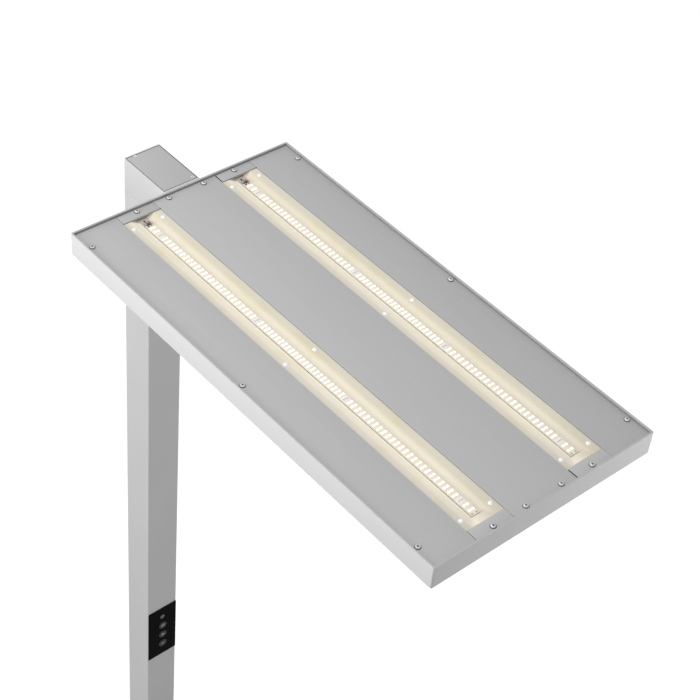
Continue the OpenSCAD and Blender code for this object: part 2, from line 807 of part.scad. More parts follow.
// Stack of the downward light, from the lip up
guide_gap = strip_t + seam;
module light_stack(z0, t, inset) {
    block(pan_x0 + seam, pan_x1 - seam, -pan_y + inset, pan_y - inset, z0, z0 + t);
}

module diffuser() {
    color([0.93, 0.93, 0.9]) light_stack(head_bottom + lip_t, diffuser_t, seam);
}

module light_guide() {
    color([0.9, 0.92, 0.93]) light_stack(head_bottom + lip_t + diffuser_t, guide_t, guide_gap);
}

module backing_sheet() {
    color([0.96, 0.96, 0.96]) light_stack(head_bottom + lip_t + diffuser_t + guide_t, backing_t, seam);
}

module edge_strip(s) {
    y0 = s > 0 ? pan_y - strip_t : -pan_y;
    color([0.95, 0.95, 0.85]) block(pan_x0 + ledge_w, pan_x1 - ledge_w, y0, y0 + strip_t,
        head_bottom + lip_t + diffuser_t, head_bottom + lip_t + diffuser_t + guide_t);
}

module edge_strip_left() { edge_strip(left); }
module edge_strip_right() { edge_strip(right); }

module terminal_block() {
    color([0.9, 0.9, 0.9])
        block(terminal_x0, terminal_x0 + terminal_l, -terminal_w / 2, terminal_w / 2,
            pan_floor, pan_floor + terminal_h);
}

// Light channels: tray, board, film, rivets and leads

lead_hole_l = 6;
lead_hole_w = 8;
tray_wall_y = slot_half + tray_t;
film_half = channel_w / 2 + tray_flange / 2;
tray_half = channel_w / 2 + tray_flange;

// Full outline points from those of one half, listed from the outside in
function both_sides(half) = concat(half, [for (i = [len(half) - 1:-1:0]) [-half[i].x, half[i].y]]);
function reversed(p) = [for (i = [len(p) - 1:-1:0]) p[i]];

module along_channel(x0, x1, y) {
    translate([x0, y, 0]) rotate([90, 0, 90]) linear_extrude(x1 - x0) children();
}

module tray_section() {
    top = film_z - film_t;
    low = board_z - film_t;
    polygon(concat(
        both_sides([[tray_half, top], [film_flat_y, top], [tray_wall_y, low], [slot_half, low],
            [slot_half, tray_floor]]),
        reversed(both_sides([[tray_half, top - tray_t], [film_flat_y, top - tray_t],
            [tray_wall_y, low - tray_t], [tray_wall_y, tray_floor - tray_t]]))));
}

module led_tray(s) {
    y = s * channel_y;
    in_y = channel_w / 2 - seam / 2;
    color([0.74, 0.74, 0.75]) difference() {
        union() {
            along_channel(tray_x0, tray_x1, y) tray_section();
            for (x = [[head_x0 + rim_wall + seam, opening_x0], [opening_x1, head_x1 - rim_wall - seam]])
                block(x[0], x[1], y - in_y, y + in_y, ledge_z, panel_z);
            for (x = [opening_x0 - tray_t, opening_x1])
                block(x, x + tray_t, y - in_y, y + in_y, film_z - film_t - tray_t, panel_z);
        }
        for (p = tray_screws) rod_z(p.x, p.y, ledge_z - cut, panel_z + cut, screw_d / 2 + hole_gap);
        for (x = rivet_xs, e = [left, right])
            rod_z(x, y + e * rivet_y, tray_floor, panel_z, rivet_shank_r + hole_gap);
        block(opening_x0 + seam, opening_x0 + lead_hole_l, y - lead_hole_w / 2, y + lead_hole_w / 2,
            tray_floor - tray_t - cut, tray_floor + cut);
    }
}

module led_tray_left() { led_tray(left); }
module led_tray_right() { led_tray(right); }

module led_board(s) {
    color([0.93, 0.92, 0.88])
        block(head_mid - board_l / 2, head_mid + board_l / 2, s * channel_y - board_w / 2,
            s * channel_y + board_w / 2, tray_floor, board_z);
}

module led_board_left() { led_board(left); }
module led_board_right() { led_board(right); }

// Light source places, from the middle of the board
mid_run_x1 = (mid_run_n - 1) / 2 * mid_run_pitch;
side_run_x0 = mid_run_x1 + mid_run_gap;
end_pair_x = board_l / 2 - end_pair_inset;
side_run_x1 = end_pair_x - end_pair_pitch - end_run_gap;
side_run_pitch = (side_run_x1 - side_run_x0) / (side_run_n - 1);
led_xs = concat(
    [for (s = [left, right], i = [0, 1]) s * (end_pair_x - i * end_pair_pitch)],
    [for (s = [left, right], i = [0:side_run_n - 1]) s * (side_run_x0 + i * side_run_pitch)],
    [for (i = [0:mid_run_n - 1]) i * mid_run_pitch - mid_run_x1]);

module leds(s) {
    color([1, 0.99, 0.93]) for (x = led_xs, row = [-led_row, led_row])
        translate([head_mid + x - led_l / 2, s * channel_y + row - led_w / 2, board_z])
            cube([led_l, led_w, led_h]);
}

module leds_left() { leds(left); }
module leds_right() { leds(right); }

film_x0 = opening_x0 + tray_t;
film_x1 = opening_x1 - seam;
notch_x1 = opening_x0 + notch_l;
notch_steps = 8;
function notch_half(t) = slot_half + (notch_half_w - slot_half) * (1 + cos(180 * t)) / 2;
notch_side = [for (i = [0:notch_steps])
    [opening_x0 + notch_l * i / notch_steps, notch_half(i / notch_steps)]];
notch_far = [for (i = [notch_steps:-1:0]) [notch_side[i].x, -notch_side[i].y]];

module film_section() {
    upper = both_sides([[film_half, film_z], [film_flat_y, film_z], [tray_wall_y, board_z]]);
    polygon(concat(upper, reversed([for (p = upper) p - [0, film_t]])));
}

module reflector(s) {
    y = s * channel_y;
    color([0.93, 0.9, 0.8]) difference() {
        along_channel(film_x0, film_x1, y) film_section();
        block(notch_x1 - cut, slot_x1, y - slot_half, y + slot_half, tray_floor, panel_z);
        translate([0, y, tray_floor]) linear_extrude(panel_z - tray_floor)
            polygon(concat([[film_x0 - cut, notch_half_w]], notch_side, notch_far,
                [[film_x0 - cut, -notch_half_w]]));
        for (x = rivet_xs, e = [left, right])
            rod_z(x, y + e * rivet_y, tray_floor, panel_z, rivet_shank_r + hole_gap);
    }
}

module reflector_left() { reflector(left); }
module reflector_right() { reflector(right); }

rivet_xs = [head_x0 + rivet_back, head_mid, head_x1 - rivet_front];
rivet_ball = (rivet_r * rivet_r + rivet_h * rivet_h) / (2 * rivet_h);

module rivet() {
    intersection() {
        cylinder(h = rivet_h, r = rivet_r);
        translate([0, 0, rivet_h - rivet_ball]) sphere(rivet_ball);
    }
    translate([0, 0, -rivet_shank_l]) cylinder(h = rivet_shank_l + rivet_h / 2, r = rivet_shank_r);
}

module reflector_rivets() {
    color([0.97, 0.97, 0.96]) for (s = [left, right], x = rivet_xs, e = [left, right])
        translate([x, s * channel_y + e * rivet_y, film_z]) rivet();
}

connector_l = 5;
connector_w = 7;
connector_h = 3.2;
connector_x1 = slot_x0 - seam;
lead_r = 0.6;
lead_bend = 1.05;
lead_pitch = 3;
lead_sides = 8;
lead_back = 1.4;
pad_reach = 3;
lead_rise = 2.7;
trunk_r = 0.75;
trunk_bend = 2;
trunk_gap = 2.5;
trunk_x = opening_x0 + lead_hole_l / 2;
trunk_z = pan_floor + trunk_gap;

module connectors() {
    color([0.7, 0.71, 0.7]) for (s = [left, right])
        block(connector_x1 - connector_l, connector_x1, s * channel_y - connector_w / 2,
            s * channel_y + connector_w / 2, tray_floor, tray_floor + connector_h);
}

module leads(s) {
    y = s * channel_y;
    for (k = [left, right]) color(k > 0 ? [0.75, 0.2, 0.15] : [0.08, 0.08, 0.08])
        tube(rounded([
            [connector_x1 - lead_back, y + k * lead_pitch / 2, tray_floor + connector_h],
            [connector_x1 - lead_back, y + k * lead_pitch / 2, board_z + lead_rise],
            [connector_x1 + pad_reach, y + k * lead_pitch / 2, board_z + lead_rise],
            [connector_x1 + pad_reach, y + k * lead_pitch / 2, board_z]],
            lead_bend), lead_r, lead_sides);
    color([0.3, 0.3, 0.3]) tube(rounded([
        [connector_x1 - connector_l, y, tray_floor + connector_h / 2],
        [trunk_x, y, tray_floor + connector_h / 2],
        [trunk_x, y, trunk_z],
        [terminal_x0 + terminal_l / 2, y - s * (channel_y - terminal_w), trunk_z],
        [terminal_x0 + terminal_l / 2, s * terminal_w / 2, trunk_z]], trunk_bend), trunk_r, lead_sides);
}

module leads_left() { leads(left); }
module leads_right() { leads(right); }

// Top sheets and their screws

module sheet_holes(places) {
    for (p = places) rod_z(p.x, p.y, ledge_z - cut, panel_z + cut, screw_d / 2 + hole_gap);
}

module outer_panel(s) {
    far = half_w - rim_wall - seam;
    color([0.7, 0.7, 0.7]) difference() {
        block(head_x0 + rim_wall + seam, head_x1 - rim_wall - seam, s > 0 ? channel_out : -far,
            s > 0 ? far : -channel_out, ledge_z, panel_z);
        sheet_holes(side_screws);
    }
}

module outer_panel_left() { outer_panel(left); }
module outer_panel_right() { outer_panel(right); }

module centre_panel() {
    color([0.7, 0.7, 0.7]) difference() {
        block(head_x0 + rim_wall + seam, head_x1 - rim_wall - seam, -channel_in, channel_in,
            ledge_z, panel_z);
        sheet_holes(mid_screws);
    }
}

module button_screw() {
    difference() {
        union() {
            intersection() {
                cylinder(h = screw_head_h, r = screw_head_d / 2);
                translate([0, 0, screw_head_h - screw_ball]) sphere(screw_ball);
            }
            translate([0, 0, -screw_l]) cylinder(h = screw_l + screw_head_h / 4, r = screw_d / 2);
        }
        translate([0, 0, screw_head_h - socket_depth])
            cylinder(h = socket_depth + cut, r = screw_socket / 2 / cos(180 / hexagon), $fn = hexagon);
    }
}
screw_ball = (screw_head_d * screw_head_d / 4 + screw_head_h * screw_head_h) / (2 * screw_head_h);

module panel_screws() {
    color([0.82, 0.82, 0.83]) for (p = sheet_screws) translate([p.x, p.y, panel_z]) button_screw();
}

base_plate();
base_pads();
centre_pad();
foot_block();
foot_bolts();
post();
post_foot_screws();
cord_gland();
gland_nut();
driver_rail();
direct_driver();
indirect_driver();
driver_screws();
mains_cable();
head_cable();
control_cable();
control_housing();
control_fascia();
control_board();
tact_switches();
sensor_window();
button_power();
button_brighter();
button_dimmer();
arm_housing();
arm_core();
arm_cap();
cap_screws();
grub_screws();
spigot_screws();
presence_sensor();
head_bracket();
bracket_screws();
head_frame();
light_pan();
backing_sheet();
light_guide();
diffuser();
edge_strip_left();
edge_strip_right();
terminal_block();
led_tray_left();
led_tray_right();
led_board_left();
led_board_right();
leds_left();
leds_right();
reflector_left();
reflector_right();
reflector_rivets();
connectors();
leads_left();
leads_right();
outer_panel_left();
outer_panel_right();
centre_panel();
panel_screws();
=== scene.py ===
import json
import math

import bmesh
import bpy
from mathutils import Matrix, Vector, noise


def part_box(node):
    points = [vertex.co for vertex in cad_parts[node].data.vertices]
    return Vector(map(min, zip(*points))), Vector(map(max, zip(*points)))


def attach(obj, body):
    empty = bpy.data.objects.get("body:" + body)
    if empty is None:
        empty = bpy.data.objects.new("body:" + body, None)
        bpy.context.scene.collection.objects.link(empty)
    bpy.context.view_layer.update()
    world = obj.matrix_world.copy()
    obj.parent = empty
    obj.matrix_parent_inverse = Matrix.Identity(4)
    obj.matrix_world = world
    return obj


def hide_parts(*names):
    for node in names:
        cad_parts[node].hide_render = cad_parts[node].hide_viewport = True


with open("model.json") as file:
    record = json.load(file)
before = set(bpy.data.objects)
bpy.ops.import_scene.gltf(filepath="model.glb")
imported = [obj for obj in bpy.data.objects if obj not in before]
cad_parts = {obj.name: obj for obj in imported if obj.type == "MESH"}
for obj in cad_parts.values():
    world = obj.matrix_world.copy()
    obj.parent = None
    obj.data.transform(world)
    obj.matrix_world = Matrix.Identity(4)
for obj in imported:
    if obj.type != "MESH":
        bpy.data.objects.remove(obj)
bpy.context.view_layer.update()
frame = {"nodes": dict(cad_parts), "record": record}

MM = 0.001
LEFT, RIGHT = -1, 1

# Camera: the photograph's place and angle, found from the head's edges and screws
CAMERA_PLACE = (1.4234, -1.0258, 3.2585)
CAMERA_TURN = (46.827, -5.149, 49.1)
CAMERA_LENS = 90.7
CAMERA_SHIFT = (-0.03932, 0.0285)
SENSOR = 36.0
CLIP_END = 50


def make_camera():
    data = bpy.data.cameras.new("camera")
    data.sensor_width = SENSOR
    data.lens = CAMERA_LENS
    data.shift_x, data.shift_y = CAMERA_SHIFT
    data.clip_end = CLIP_END
    camera = bpy.data.objects.new("camera", data)
    camera.location = CAMERA_PLACE
    camera.rotation_euler = [math.radians(a) for a in CAMERA_TURN]
    bpy.context.collection.objects.link(camera)
    bpy.context.scene.camera = camera


make_camera()


# Materials

MIX_SHARE, MIX_COLOR, MIX_TINT, MIX_RESULT = 0, 6, 7, 2  # the Mix node's sockets for colours
NOISE_LOW, NOISE_HIGH = 0.3, 0.7  # where a mottled colour is at its darkest and its palest
RAMP_MIDDLE = 0.5


class Shader:
    """A Principled material and the few node helpers that the finishes share."""

    def __init__(self, name, color, roughness=0.5, metallic=0.0):
        self.name = name
        self.material = bpy.data.materials.new(name)
        self.material.use_nodes = True
        self.tree = self.material.node_tree
        self.surface = self.tree.nodes["Principled BSDF"]
        self.set("Base Color", (*color, 1.0))
        self.set("Roughness", roughness)
        self.set("Metallic", metallic)
        self.place = self.node("ShaderNodeTexCoord").outputs["Object"]

    def set(self, socket, value):
        self.surface.inputs[socket].default_value = value

    def node(self, kind, **fields):
        made = self.tree.nodes.new(kind)
        for field, value in fields.items():
            setattr(made, field, value)
        return made

    def link(self, source, target):
        self.tree.links.new(source, target)

    def stretched(self, scale):
        mapping = self.node("ShaderNodeMapping")
        mapping.inputs["Scale"].default_value = scale
        self.link(self.place, mapping.inputs["Vector"])
        return mapping.outputs["Vector"]

    def noise(self, scale, detail=2.0, stretch=(1, 1, 1)):
        texture = self.node("ShaderNodeTexNoise")
        texture.inputs["Scale"].default_value = scale
        texture.inputs["Detail"].default_value = detail
        self.link(self.stretched(stretch), texture.inputs["Vector"])
        return texture.outputs["Fac"]

    def math(self, kind, value, other=0.0):
        step = self.node("ShaderNodeMath", operation=kind)
        self.link(value, step.inputs[0])
        step.inputs[1].default_value = other
        return step.outputs["Value"]

    def join(self, kind, one, other):
        step = self.node("ShaderNodeMath", operation=kind)
        self.link(one, step.inputs[0])
        self.link(other, step.inputs[1])
        return step.outputs["Value"]

    def multiply(self, color, tint, share):
        """Multiplies a colour by a tint, as far as share says; either may be a socket."""
        mix = self.node("ShaderNodeMix", data_type="RGBA", blend_type="MULTIPLY")
        self.link(color, mix.inputs[MIX_COLOR])
        for socket, value in ((MIX_TINT, tint), (MIX_SHARE, share)):
            if isinstance(value, bpy.types.NodeSocket):
                self.link(value, mix.inputs[socket])
            else:
                mix.inputs[socket].default_value = value
        return mix.outputs[MIX_RESULT]

    def ramp(self, value, stops):
        ramp = self.node("ShaderNodeValToRGB")
        ramp.color_ramp.elements.remove(ramp.color_ramp.elements[1])
        for i, (at, color) in enumerate(stops):
            stop = ramp.color_ramp.elements[0] if i == 0 else ramp.color_ramp.elements.new(at)
            stop.position = at
            stop.color = (*color, 1.0)
        self.link(value, ramp.inputs["Fac"])
        return ramp.outputs["Color"]

    def mottle(self, color, spread, scale, detail=3.0, stretch=(1, 1, 1)):
        low = [c * (1 - spread) for c in color]
        high = [min(1.0, c * (1 + spread)) for c in color]
        stops = [(NOISE_LOW, low), (NOISE_HIGH, high)]
        shade = self.ramp(self.noise(scale, detail, stretch), stops)
        self.link(shade, self.surface.inputs["Base Color"])

    def rough(self, low, high, scale, stretch=(1, 1, 1)):
        spread = self.node("ShaderNodeMapRange")
        spread.inputs["To Min"].default_value = low
        spread.inputs["To Max"].default_value = high
        self.link(self.noise(scale, stretch=stretch), spread.inputs["Value"])
        self.link(spread.outputs["Result"], self.surface.inputs["Roughness"])

    def bump(self, height, distance, strength=1.0):
        bump = self.node("ShaderNodeBump")
        bump.inputs["Distance"].default_value = distance
        bump.inputs["Strength"].default_value = strength
        self.link(height, bump.inputs["Height"])
        self.link(bump.outputs["Normal"], self.surface.inputs["Normal"])


COAT_GLOSS = 0.3
BLACK = (0.003, 0.003, 0.003)
BLACK_GLOSS = 0.008
FILM_PAINTED_GLOW = 0.15


def powder_coat(name, color, grain=1400, depth=0.00002, roughness=(0.42, 0.5)):
    """Matt metallic paint with a fine grain."""
    coat = Shader(name, color)
    coat.set("Specular IOR Level", COAT_GLOSS)
    coat.mottle(color, spread=0.018, scale=9)
    coat.rough(*roughness, scale=60)
    coat.bump(coat.noise(grain), depth)
    return coat


def rolled_sheet(name, color):
    """Sheet metal with a faint grain along the head."""
    sheet = Shader(name, color, metallic=0.08)
    sheet.set("Specular IOR Level", COAT_GLOSS)
    sheet.mottle(color, spread=0.012, scale=14, detail=6.0, stretch=(1, 14, 14))
    sheet.rough(low=0.4, high=0.5, scale=160, stretch=(1, 8, 8))
    sheet.bump(sheet.noise(scale=900, detail=3.0, stretch=(0.35, 1.6, 1.6)), distance=0.000012)
    return sheet


def bare_metal(name, color, roughness=(0.25, 0.4)):
    metal = Shader(name, color, metallic=1.0)
    metal.mottle(color, spread=0.04, scale=220, detail=4.0)
    metal.rough(*roughness, scale=500)
    metal.bump(metal.noise(scale=2200), distance=0.000008)
    return metal


def moulded(name, color, roughness=(0.35, 0.5), grain=2600, depth=0.00001, gloss=0.5):
    """Plain plastic or rubber, and small dark or pale surfaces, among them painted shade and a
    painted highlight.
    """
    plastic = Shader(name, color)
    plastic.set("Specular IOR Level", gloss)
    plastic.mottle(color, spread=0.04, scale=40)
    plastic.rough(*roughness, scale=300)
    plastic.bump(plastic.noise(grain, detail=3.0), depth)
    return plastic


def gloss_black(name):
    """Polished black plastic with faint mould waves."""
    plastic = Shader(name, BLACK)
    plastic.set("Specular IOR Level", BLACK_GLOSS)
    plastic.mottle(BLACK, spread=0.1, scale=30)
    plastic.rough(low=0.12, high=0.2, scale=200)
    plastic.bump(plastic.noise(scale=60), distance=0.000004)
    return plastic


def lit(name, color, glow, strength):
    """A pale surface that glows: for the LEDs this is their own light; on the rivets, boards and
    tray it is a painted glow, painted light from the light sources beside them.
    """
    source = Shader(name, color, roughness=0.4)
    source.set("Emission Color", (*glow, 1.0))
    source.set("Emission Strength", strength)
    source.mottle(color, spread=0.02, scale=900)
    return source


# Reflector film
CHANNEL_Y = sum(corner[1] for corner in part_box("led_board_right")) / 2 / MM
OPENING_HALF = 26.5
FILM_STREAK = 5.0
# Painted shade: the film darkens from FRONT_SPAN millimetres before the board's end to the film's
# front end
FRONT_SPAN = 60.0
FILM_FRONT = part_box("led_board_right")[1][0] - FRONT_SPAN * MM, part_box("reflector_right")[1][0]
FRONT_PAINTED_SHADE = (0.87, 0.87, 0.89, 1.0)
PATCH_STOPS = [(0.53, (1, 1, 1)), (0.68, (0.97, 0.965, 0.88))]
# Places across a channel, in millimetres from its middle, and the film's colour there, painted
# light and shade: palest just beside the board on the near side, greyer towards the sheets and on
# the far side
FILM_PAINTED_LIGHT = [
    (-24, (0.6, 0.555, 0.475)), (-20, (0.62, 0.575, 0.485)), (-15, (0.79, 0.73, 0.6)),
    (-8, (0.85, 0.785, 0.645)), (8, (0.65, 0.6, 0.49)), (14, (0.63, 0.58, 0.45)),
    (18, (0.62, 0.575, 0.46)), (24, (0.62, 0.575, 0.48))]


def reflector_film(name):
    """Cream film in painted light and shade: palest beside the board, where its light sources are,
    and greyer towards the sheets, on the far side and towards the front end, with long soft streaks
    and a few yellower patches; the same colours glow faintly, a painted glow."""
    film = Shader(name, FILM_PAINTED_LIGHT[0][1], roughness=0.35)
    split = film.node("ShaderNodeSeparateXYZ")
    film.link(film.place, split.inputs["Vector"])
    across = split.outputs["Y"]
    streaks = film.noise(scale=5, detail=3.0, stretch=(1, 12, 12))
    wave = film.math("MULTIPLY", streaks, FILM_STREAK * MM)
    middle = film.math("MULTIPLY", film.math("SIGN", across), CHANNEL_Y * MM)
    across = film.join("SUBTRACT", film.join("ADD", across, wave), middle)
    spread = film.math("DIVIDE", across, 2 * OPENING_HALF * MM)
    shade = film.ramp(film.math("ADD", spread, RAMP_MIDDLE - FILM_STREAK / 4 / OPENING_HALF),
                      [(RAMP_MIDDLE + at / 2 / OPENING_HALF, color) for at, color in FILM_PAINTED_LIGHT])
    share = film.node("ShaderNodeMapRange")
    share.inputs["From Min"].default_value, share.inputs["From Max"].default_value = FILM_FRONT
    film.link(split.outputs["X"], share.inputs["Value"])
    shade = film.multiply(shade, FRONT_PAINTED_SHADE, share.outputs["Result"])
    patches = film.noise(scale=26, detail=3.0, stretch=(1, 1.6, 1))
    shade = film.multiply(shade, film.ramp(patches, PATCH_STOPS), share=1.0)
    film.link(shade, film.surface.inputs["Base Color"])
    # Painted glow: the film gives off its painted light and shade as a faint glow
    film.link(shade, film.surface.inputs["Emission Color"])
    film.set("Emission Strength", FILM_PAINTED_GLOW)
    film.rough(low=0.3, high=0.45, scale=90, stretch=(0.3, 3, 3))
    folds = film.noise(scale=26, detail=4.0, stretch=(0.5, 3, 3))
    film.bump(folds, distance=0.0006, strength=0.35)
    return film


SILVER = (0.57, 0.57, 0.57)
EDGE_SILVER = (0.62, 0.62, 0.62)
POST_SILVER = (0.55, 0.55, 0.55)
SHEET = (0.455, 0.455, 0.455)
# The right outer sheet is painted a little darker than the other sheets, a painted shade
RIGHT_SHEET_SHADE = (0.425, 0.425, 0.425)

FINISH = {look.name: look.material for look in (
    powder_coat("silver_frame", SILVER),
    powder_coat("frame_side", EDGE_SILVER),
    powder_coat("silver_post", POST_SILVER),
    # Painted shade for the recessed inner wall of the edge profile
    powder_coat("frame_inside_painted_shade", (0.31, 0.31, 0.315)),
    # Painted shade for the sheets' cut edges in the seams, and for a ring round each cap screw
    powder_coat("painted_seam_shade", (0.2, 0.2, 0.2)),
    rolled_sheet("silver_sheet", SHEET),
    rolled_sheet("right_sheet_painted_shade", RIGHT_SHEET_SHADE),
    powder_coat("base_steel", SILVER, grain=900, depth=0.00005, roughness=(0.45, 0.55)),
    bare_metal("plain_aluminium", (0.72, 0.72, 0.73)),
    bare_metal("zinc_steel", (0.55, 0.55, 0.57)),
    bare_metal("screw_steel", (0.8, 0.8, 0.81), (0.25, 0.35)),
    moulded("screw_crest", (0.63, 0.63, 0.64), (0.2, 0.3)),
    # The countersunk screws' own pale grey, painted lighter still as a painted highlight
    moulded("cap_screw_painted_highlight", (0.9, 0.9, 0.9), (0.2, 0.3)),
    # Painted shade for the outer part of the panel screws' domes
    moulded("screw_skirt_painted_shade", (0.07, 0.07, 0.072), (0.5, 0.6)),
    moulded("black_rubber", (0.02, 0.02, 0.02), (0.7, 0.85), grain=1500, depth=0.00004),
    moulded("black_plastic", (0.008, 0.008, 0.008), (0.3, 0.42)),
    gloss_black("black_gloss"),
    moulded("button_plastic", (0.02, 0.02, 0.021), (0.35, 0.45), gloss=0.15),
    moulded("button_mark", (0.6, 0.6, 0.6), (0.4, 0.5), gloss=0.2),
    moulded("white_plastic", (0.78, 0.78, 0.76)),
    # The rivets and the boards glow a little: painted light from the light sources beside them
    lit("nylon", (0.76, 0.77, 0.76), (0.97, 0.99, 0.98), 0.1),
    lit("board_white", (0.68, 0.62, 0.52), (0.9, 0.82, 0.68), 0.17),
    # Painted shade: the board's sides and the strip under the film's slot are near black, for the
    # shade in the slot
    moulded("board_slot_painted_shade", (0.05, 0.035, 0.022), (0.6, 0.7)),
    lit("board_patch", (0.7, 0.68, 0.65), (1.0, 0.98, 0.95), 0.16),
    moulded("board_green", (0.03, 0.16, 0.06), (0.3, 0.4)),
    bare_metal("pad_tin", (0.48, 0.43, 0.37), (0.3, 0.4)),
    moulded("resistor", (0.42, 0.4, 0.38), (0.3, 0.4)),
    moulded("connector_grey", (0.35, 0.34, 0.33)),
    # The tray's inside takes a warm brown and a faint glow: painted light from the cream film on
    # it, seen in the channel's shade
    lit("tray_inside", (0.5, 0.45, 0.4), (0.95, 0.87, 0.78), 0.05),
    moulded("acrylic", (0.85, 0.88, 0.9), (0.05, 0.1)),
    lit("opal", (0.86, 0.86, 0.84), (1.0, 0.99, 0.95), 0.35),
    reflector_film("film"),
    moulded("cable_grey", (0.5, 0.5, 0.5), (0.5, 0.6)),
    moulded("cable_dark", (0.03, 0.03, 0.03), (0.5, 0.6)),
    moulded("lead_red", (0.30, 0.035, 0.02), (0.35, 0.45)),
    moulded("lead_black", (0.012, 0.012, 0.012), (0.35, 0.45)),
    moulded("tinted_window", (0.03, 0.006, 0.008), (0.04, 0.08)),
    # Painted shade: near black put in gaps, slits, sockets, ports and the cap's joint, where there
    # is only shade
    moulded("painted_gap_shade", (0.035, 0.032, 0.03), (0.6, 0.7)),
    # Painted shade for the cap screws' sockets
    moulded("socket_painted_shade", (0.4, 0.4, 0.4), (0.4, 0.5)),
    lit("led", (0.9, 0.89, 0.85), (1.0, 0.985, 0.95), 1.0),
    moulded("led_frame", (0.85, 0.8, 0.68)),
)}
SLOT_OF = {row["node"]: row["material_slot"] for row in frame["record"]["subparts"]}
BODY_OF = {node: body for body, nodes in frame["record"]["behaviour"]["bodies"].items()
           for node in nodes}


# Drawing in millimetres

HAIR = 0.03  # the least thickness and edge of a drawn detail
# A normal's share along an axis: that way, tilted, rising a little, or nearly square to it
ALONG, TILTED, RISING, SIDEWAYS = 0.9, 0.5, 0.3, 0.1
EDGE_STEPS = 3
TUBE_STEPS = 12
SMALL_STEPS = 24
HEXAGON = 6
PLAIN_SMOOTH, SCREW_SMOOTH, ROUND_SMOOTH, LEAD_SMOOTH = 35, 40, 50, 60  # degrees kept smooth
WELD = MM / 1000
COARSE_WELD = MM / 100


def round_turns(count):
    """Angles that divide a full turn evenly."""
    return [2 * math.pi * k / count for k in range(count)]


def edge_steps(edge, z0, z1):
    """(inset, height) pairs that round the lower and the upper edge of a slab."""
    turns = [math.pi / 2 * k / EDGE_STEPS for k in range(EDGE_STEPS + 1)]
    low = [(edge * (1 - math.sin(t)), z0 + edge * (1 - math.cos(t))) for t in turns]
    return low + [(inset, z1 + z0 - z) for inset, z in reversed(low)]


def rounded_rect(x0, x1, y0, y1, radius, steps):
    """Outline points, counter-clockwise, with steps segments to a corner."""
    corners = [(x1 - radius, y0 + radius, -90), (x1 - radius, y1 - radius, 0),
               (x0 + radius, y1 - radius, 90), (x0 + radius, y0 + radius, 180)]
    points = []
    for x, y, start in corners:
        for k in range(steps + 1):
            turn = math.radians(start + 90 * k / steps)
            points.append((x + radius * math.cos(turn), y + radius * math.sin(turn)))
    return points


class Sketch:
    """Draws closed forms into one mesh, each in the finish that is in use."""

    def __init__(self):
        self.made = bmesh.new()
        self.finishes = []

    def use(self, name):
        if name not in self.finishes:
            self.finishes.append(name)
        self.current = self.finishes.index(name)
        return self

    def face(self, verts):
        self.made.faces.new(verts).material_index = self.current

    def skin(self, rings, around=False):
        """Joins rings of equally many points; the ends are closed unless the rings go around."""
        rows = [[self.made.verts.new(Vector(p) * MM) for p in ring] for ring in rings]
        count = len(rows[0])
        for low, high in zip(rows, rows[1:] + ([rows[0]] if around else [])):
            for i in range(count):
                j = (i + 1) % count
                self.face((low[i], low[j], high[j], high[i]))
        if not around:
            self.face(rows[0][::-1])
            self.face(rows[-1])
        return self

    def slab(self, low, high, edge, radius=0.0, steps=1):
        """A box with rounded upright edges, and its top and bottom edges broken."""
        radius = max(radius, edge)
        rings = []
        for inset, z in edge_steps(edge, low[2], high[2]):
            rings.append([(x, y, z) for x, y in rounded_rect(
                low[0] + inset, high[0] - inset, low[1] + inset, high[1] - inset,
                max(radius - inset, edge / 4), steps)])
        return self.skin(rings)

    def lathe(self, centre, axis, profile, count):
        """Turns (radius, height) points about an axis through the centre."""
        centre = Vector(centre)
        axis = Vector(axis)
        across = axis.orthogonal().normalized()
        along = axis.cross(across)
        return self.skin([[centre + axis * h + r * (math.cos(t) * across + math.sin(t) * along)
                           for t in round_turns(count)] for r, h in profile])

    def tube(self, points, radius):
        """Sweeps a circle along the points."""
        points = [Vector(p) for p in points]
        rings = []
        side = None
        for i, point in enumerate(points):
            ahead = (points[min(i + 1, len(points) - 1)] - points[max(i - 1, 0)]).normalized()
            side = side or ahead.orthogonal()
            side = (side - ahead * side.dot(ahead)).normalized()
            up = ahead.cross(side)
            rings.append([point + radius * (math.cos(t) * side + math.sin(t) * up)
                          for t in round_turns(TUBE_STEPS)])
        return self.skin(rings)

    def mark(self, chosen):
        """Gives the faces for which chosen() holds the finish in use."""
        self.made.normal_update()
        for face in self.made.faces:
            if chosen(face):
                face.material_index = self.current
        return self

    def stand_for(self, node, angle=PLAIN_SMOOTH):
        """Makes the drawing a piece that takes the CAD node's place."""
        bmesh.ops.recalc_face_normals(self.made, faces=self.made.faces)
        mesh = mesh_of(self.made, node + "_skin")
        smooth_by_angle(mesh, angle)
        piece = shown(node + "_skin", mesh, [FINISH[finish] for finish in self.finishes])
        stand_for(piece, node)


def mesh_of(made, name):
    mesh = bpy.data.meshes.new(name)
    made.to_mesh(mesh)
    made.free()
    return mesh


def smooth_by_angle(mesh, angle):
    for face in mesh.polygons:
        face.use_smooth = True
    mesh.set_sharp_from_angle(angle=math.radians(angle))


def shown(name, mesh, materials):
    """Links an object with the mesh, whose faces keep their material numbers."""
    piece = bpy.data.objects.new(name, mesh)
    bpy.context.collection.objects.link(piece)
    indices = [face.material_index for face in mesh.polygons]
    mesh.materials.clear()
    for material in materials:
        mesh.materials.append(material)
    mesh.polygons.foreach_set("material_index", indices)
    return piece


def stand_for(piece, *nodes):
    """The piece takes the nodes' place and body."""
    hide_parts(*nodes)
    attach(piece, BODY_OF[nodes[0]])


def box_mm(node):
    return [Vector(corner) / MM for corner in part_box(node)]


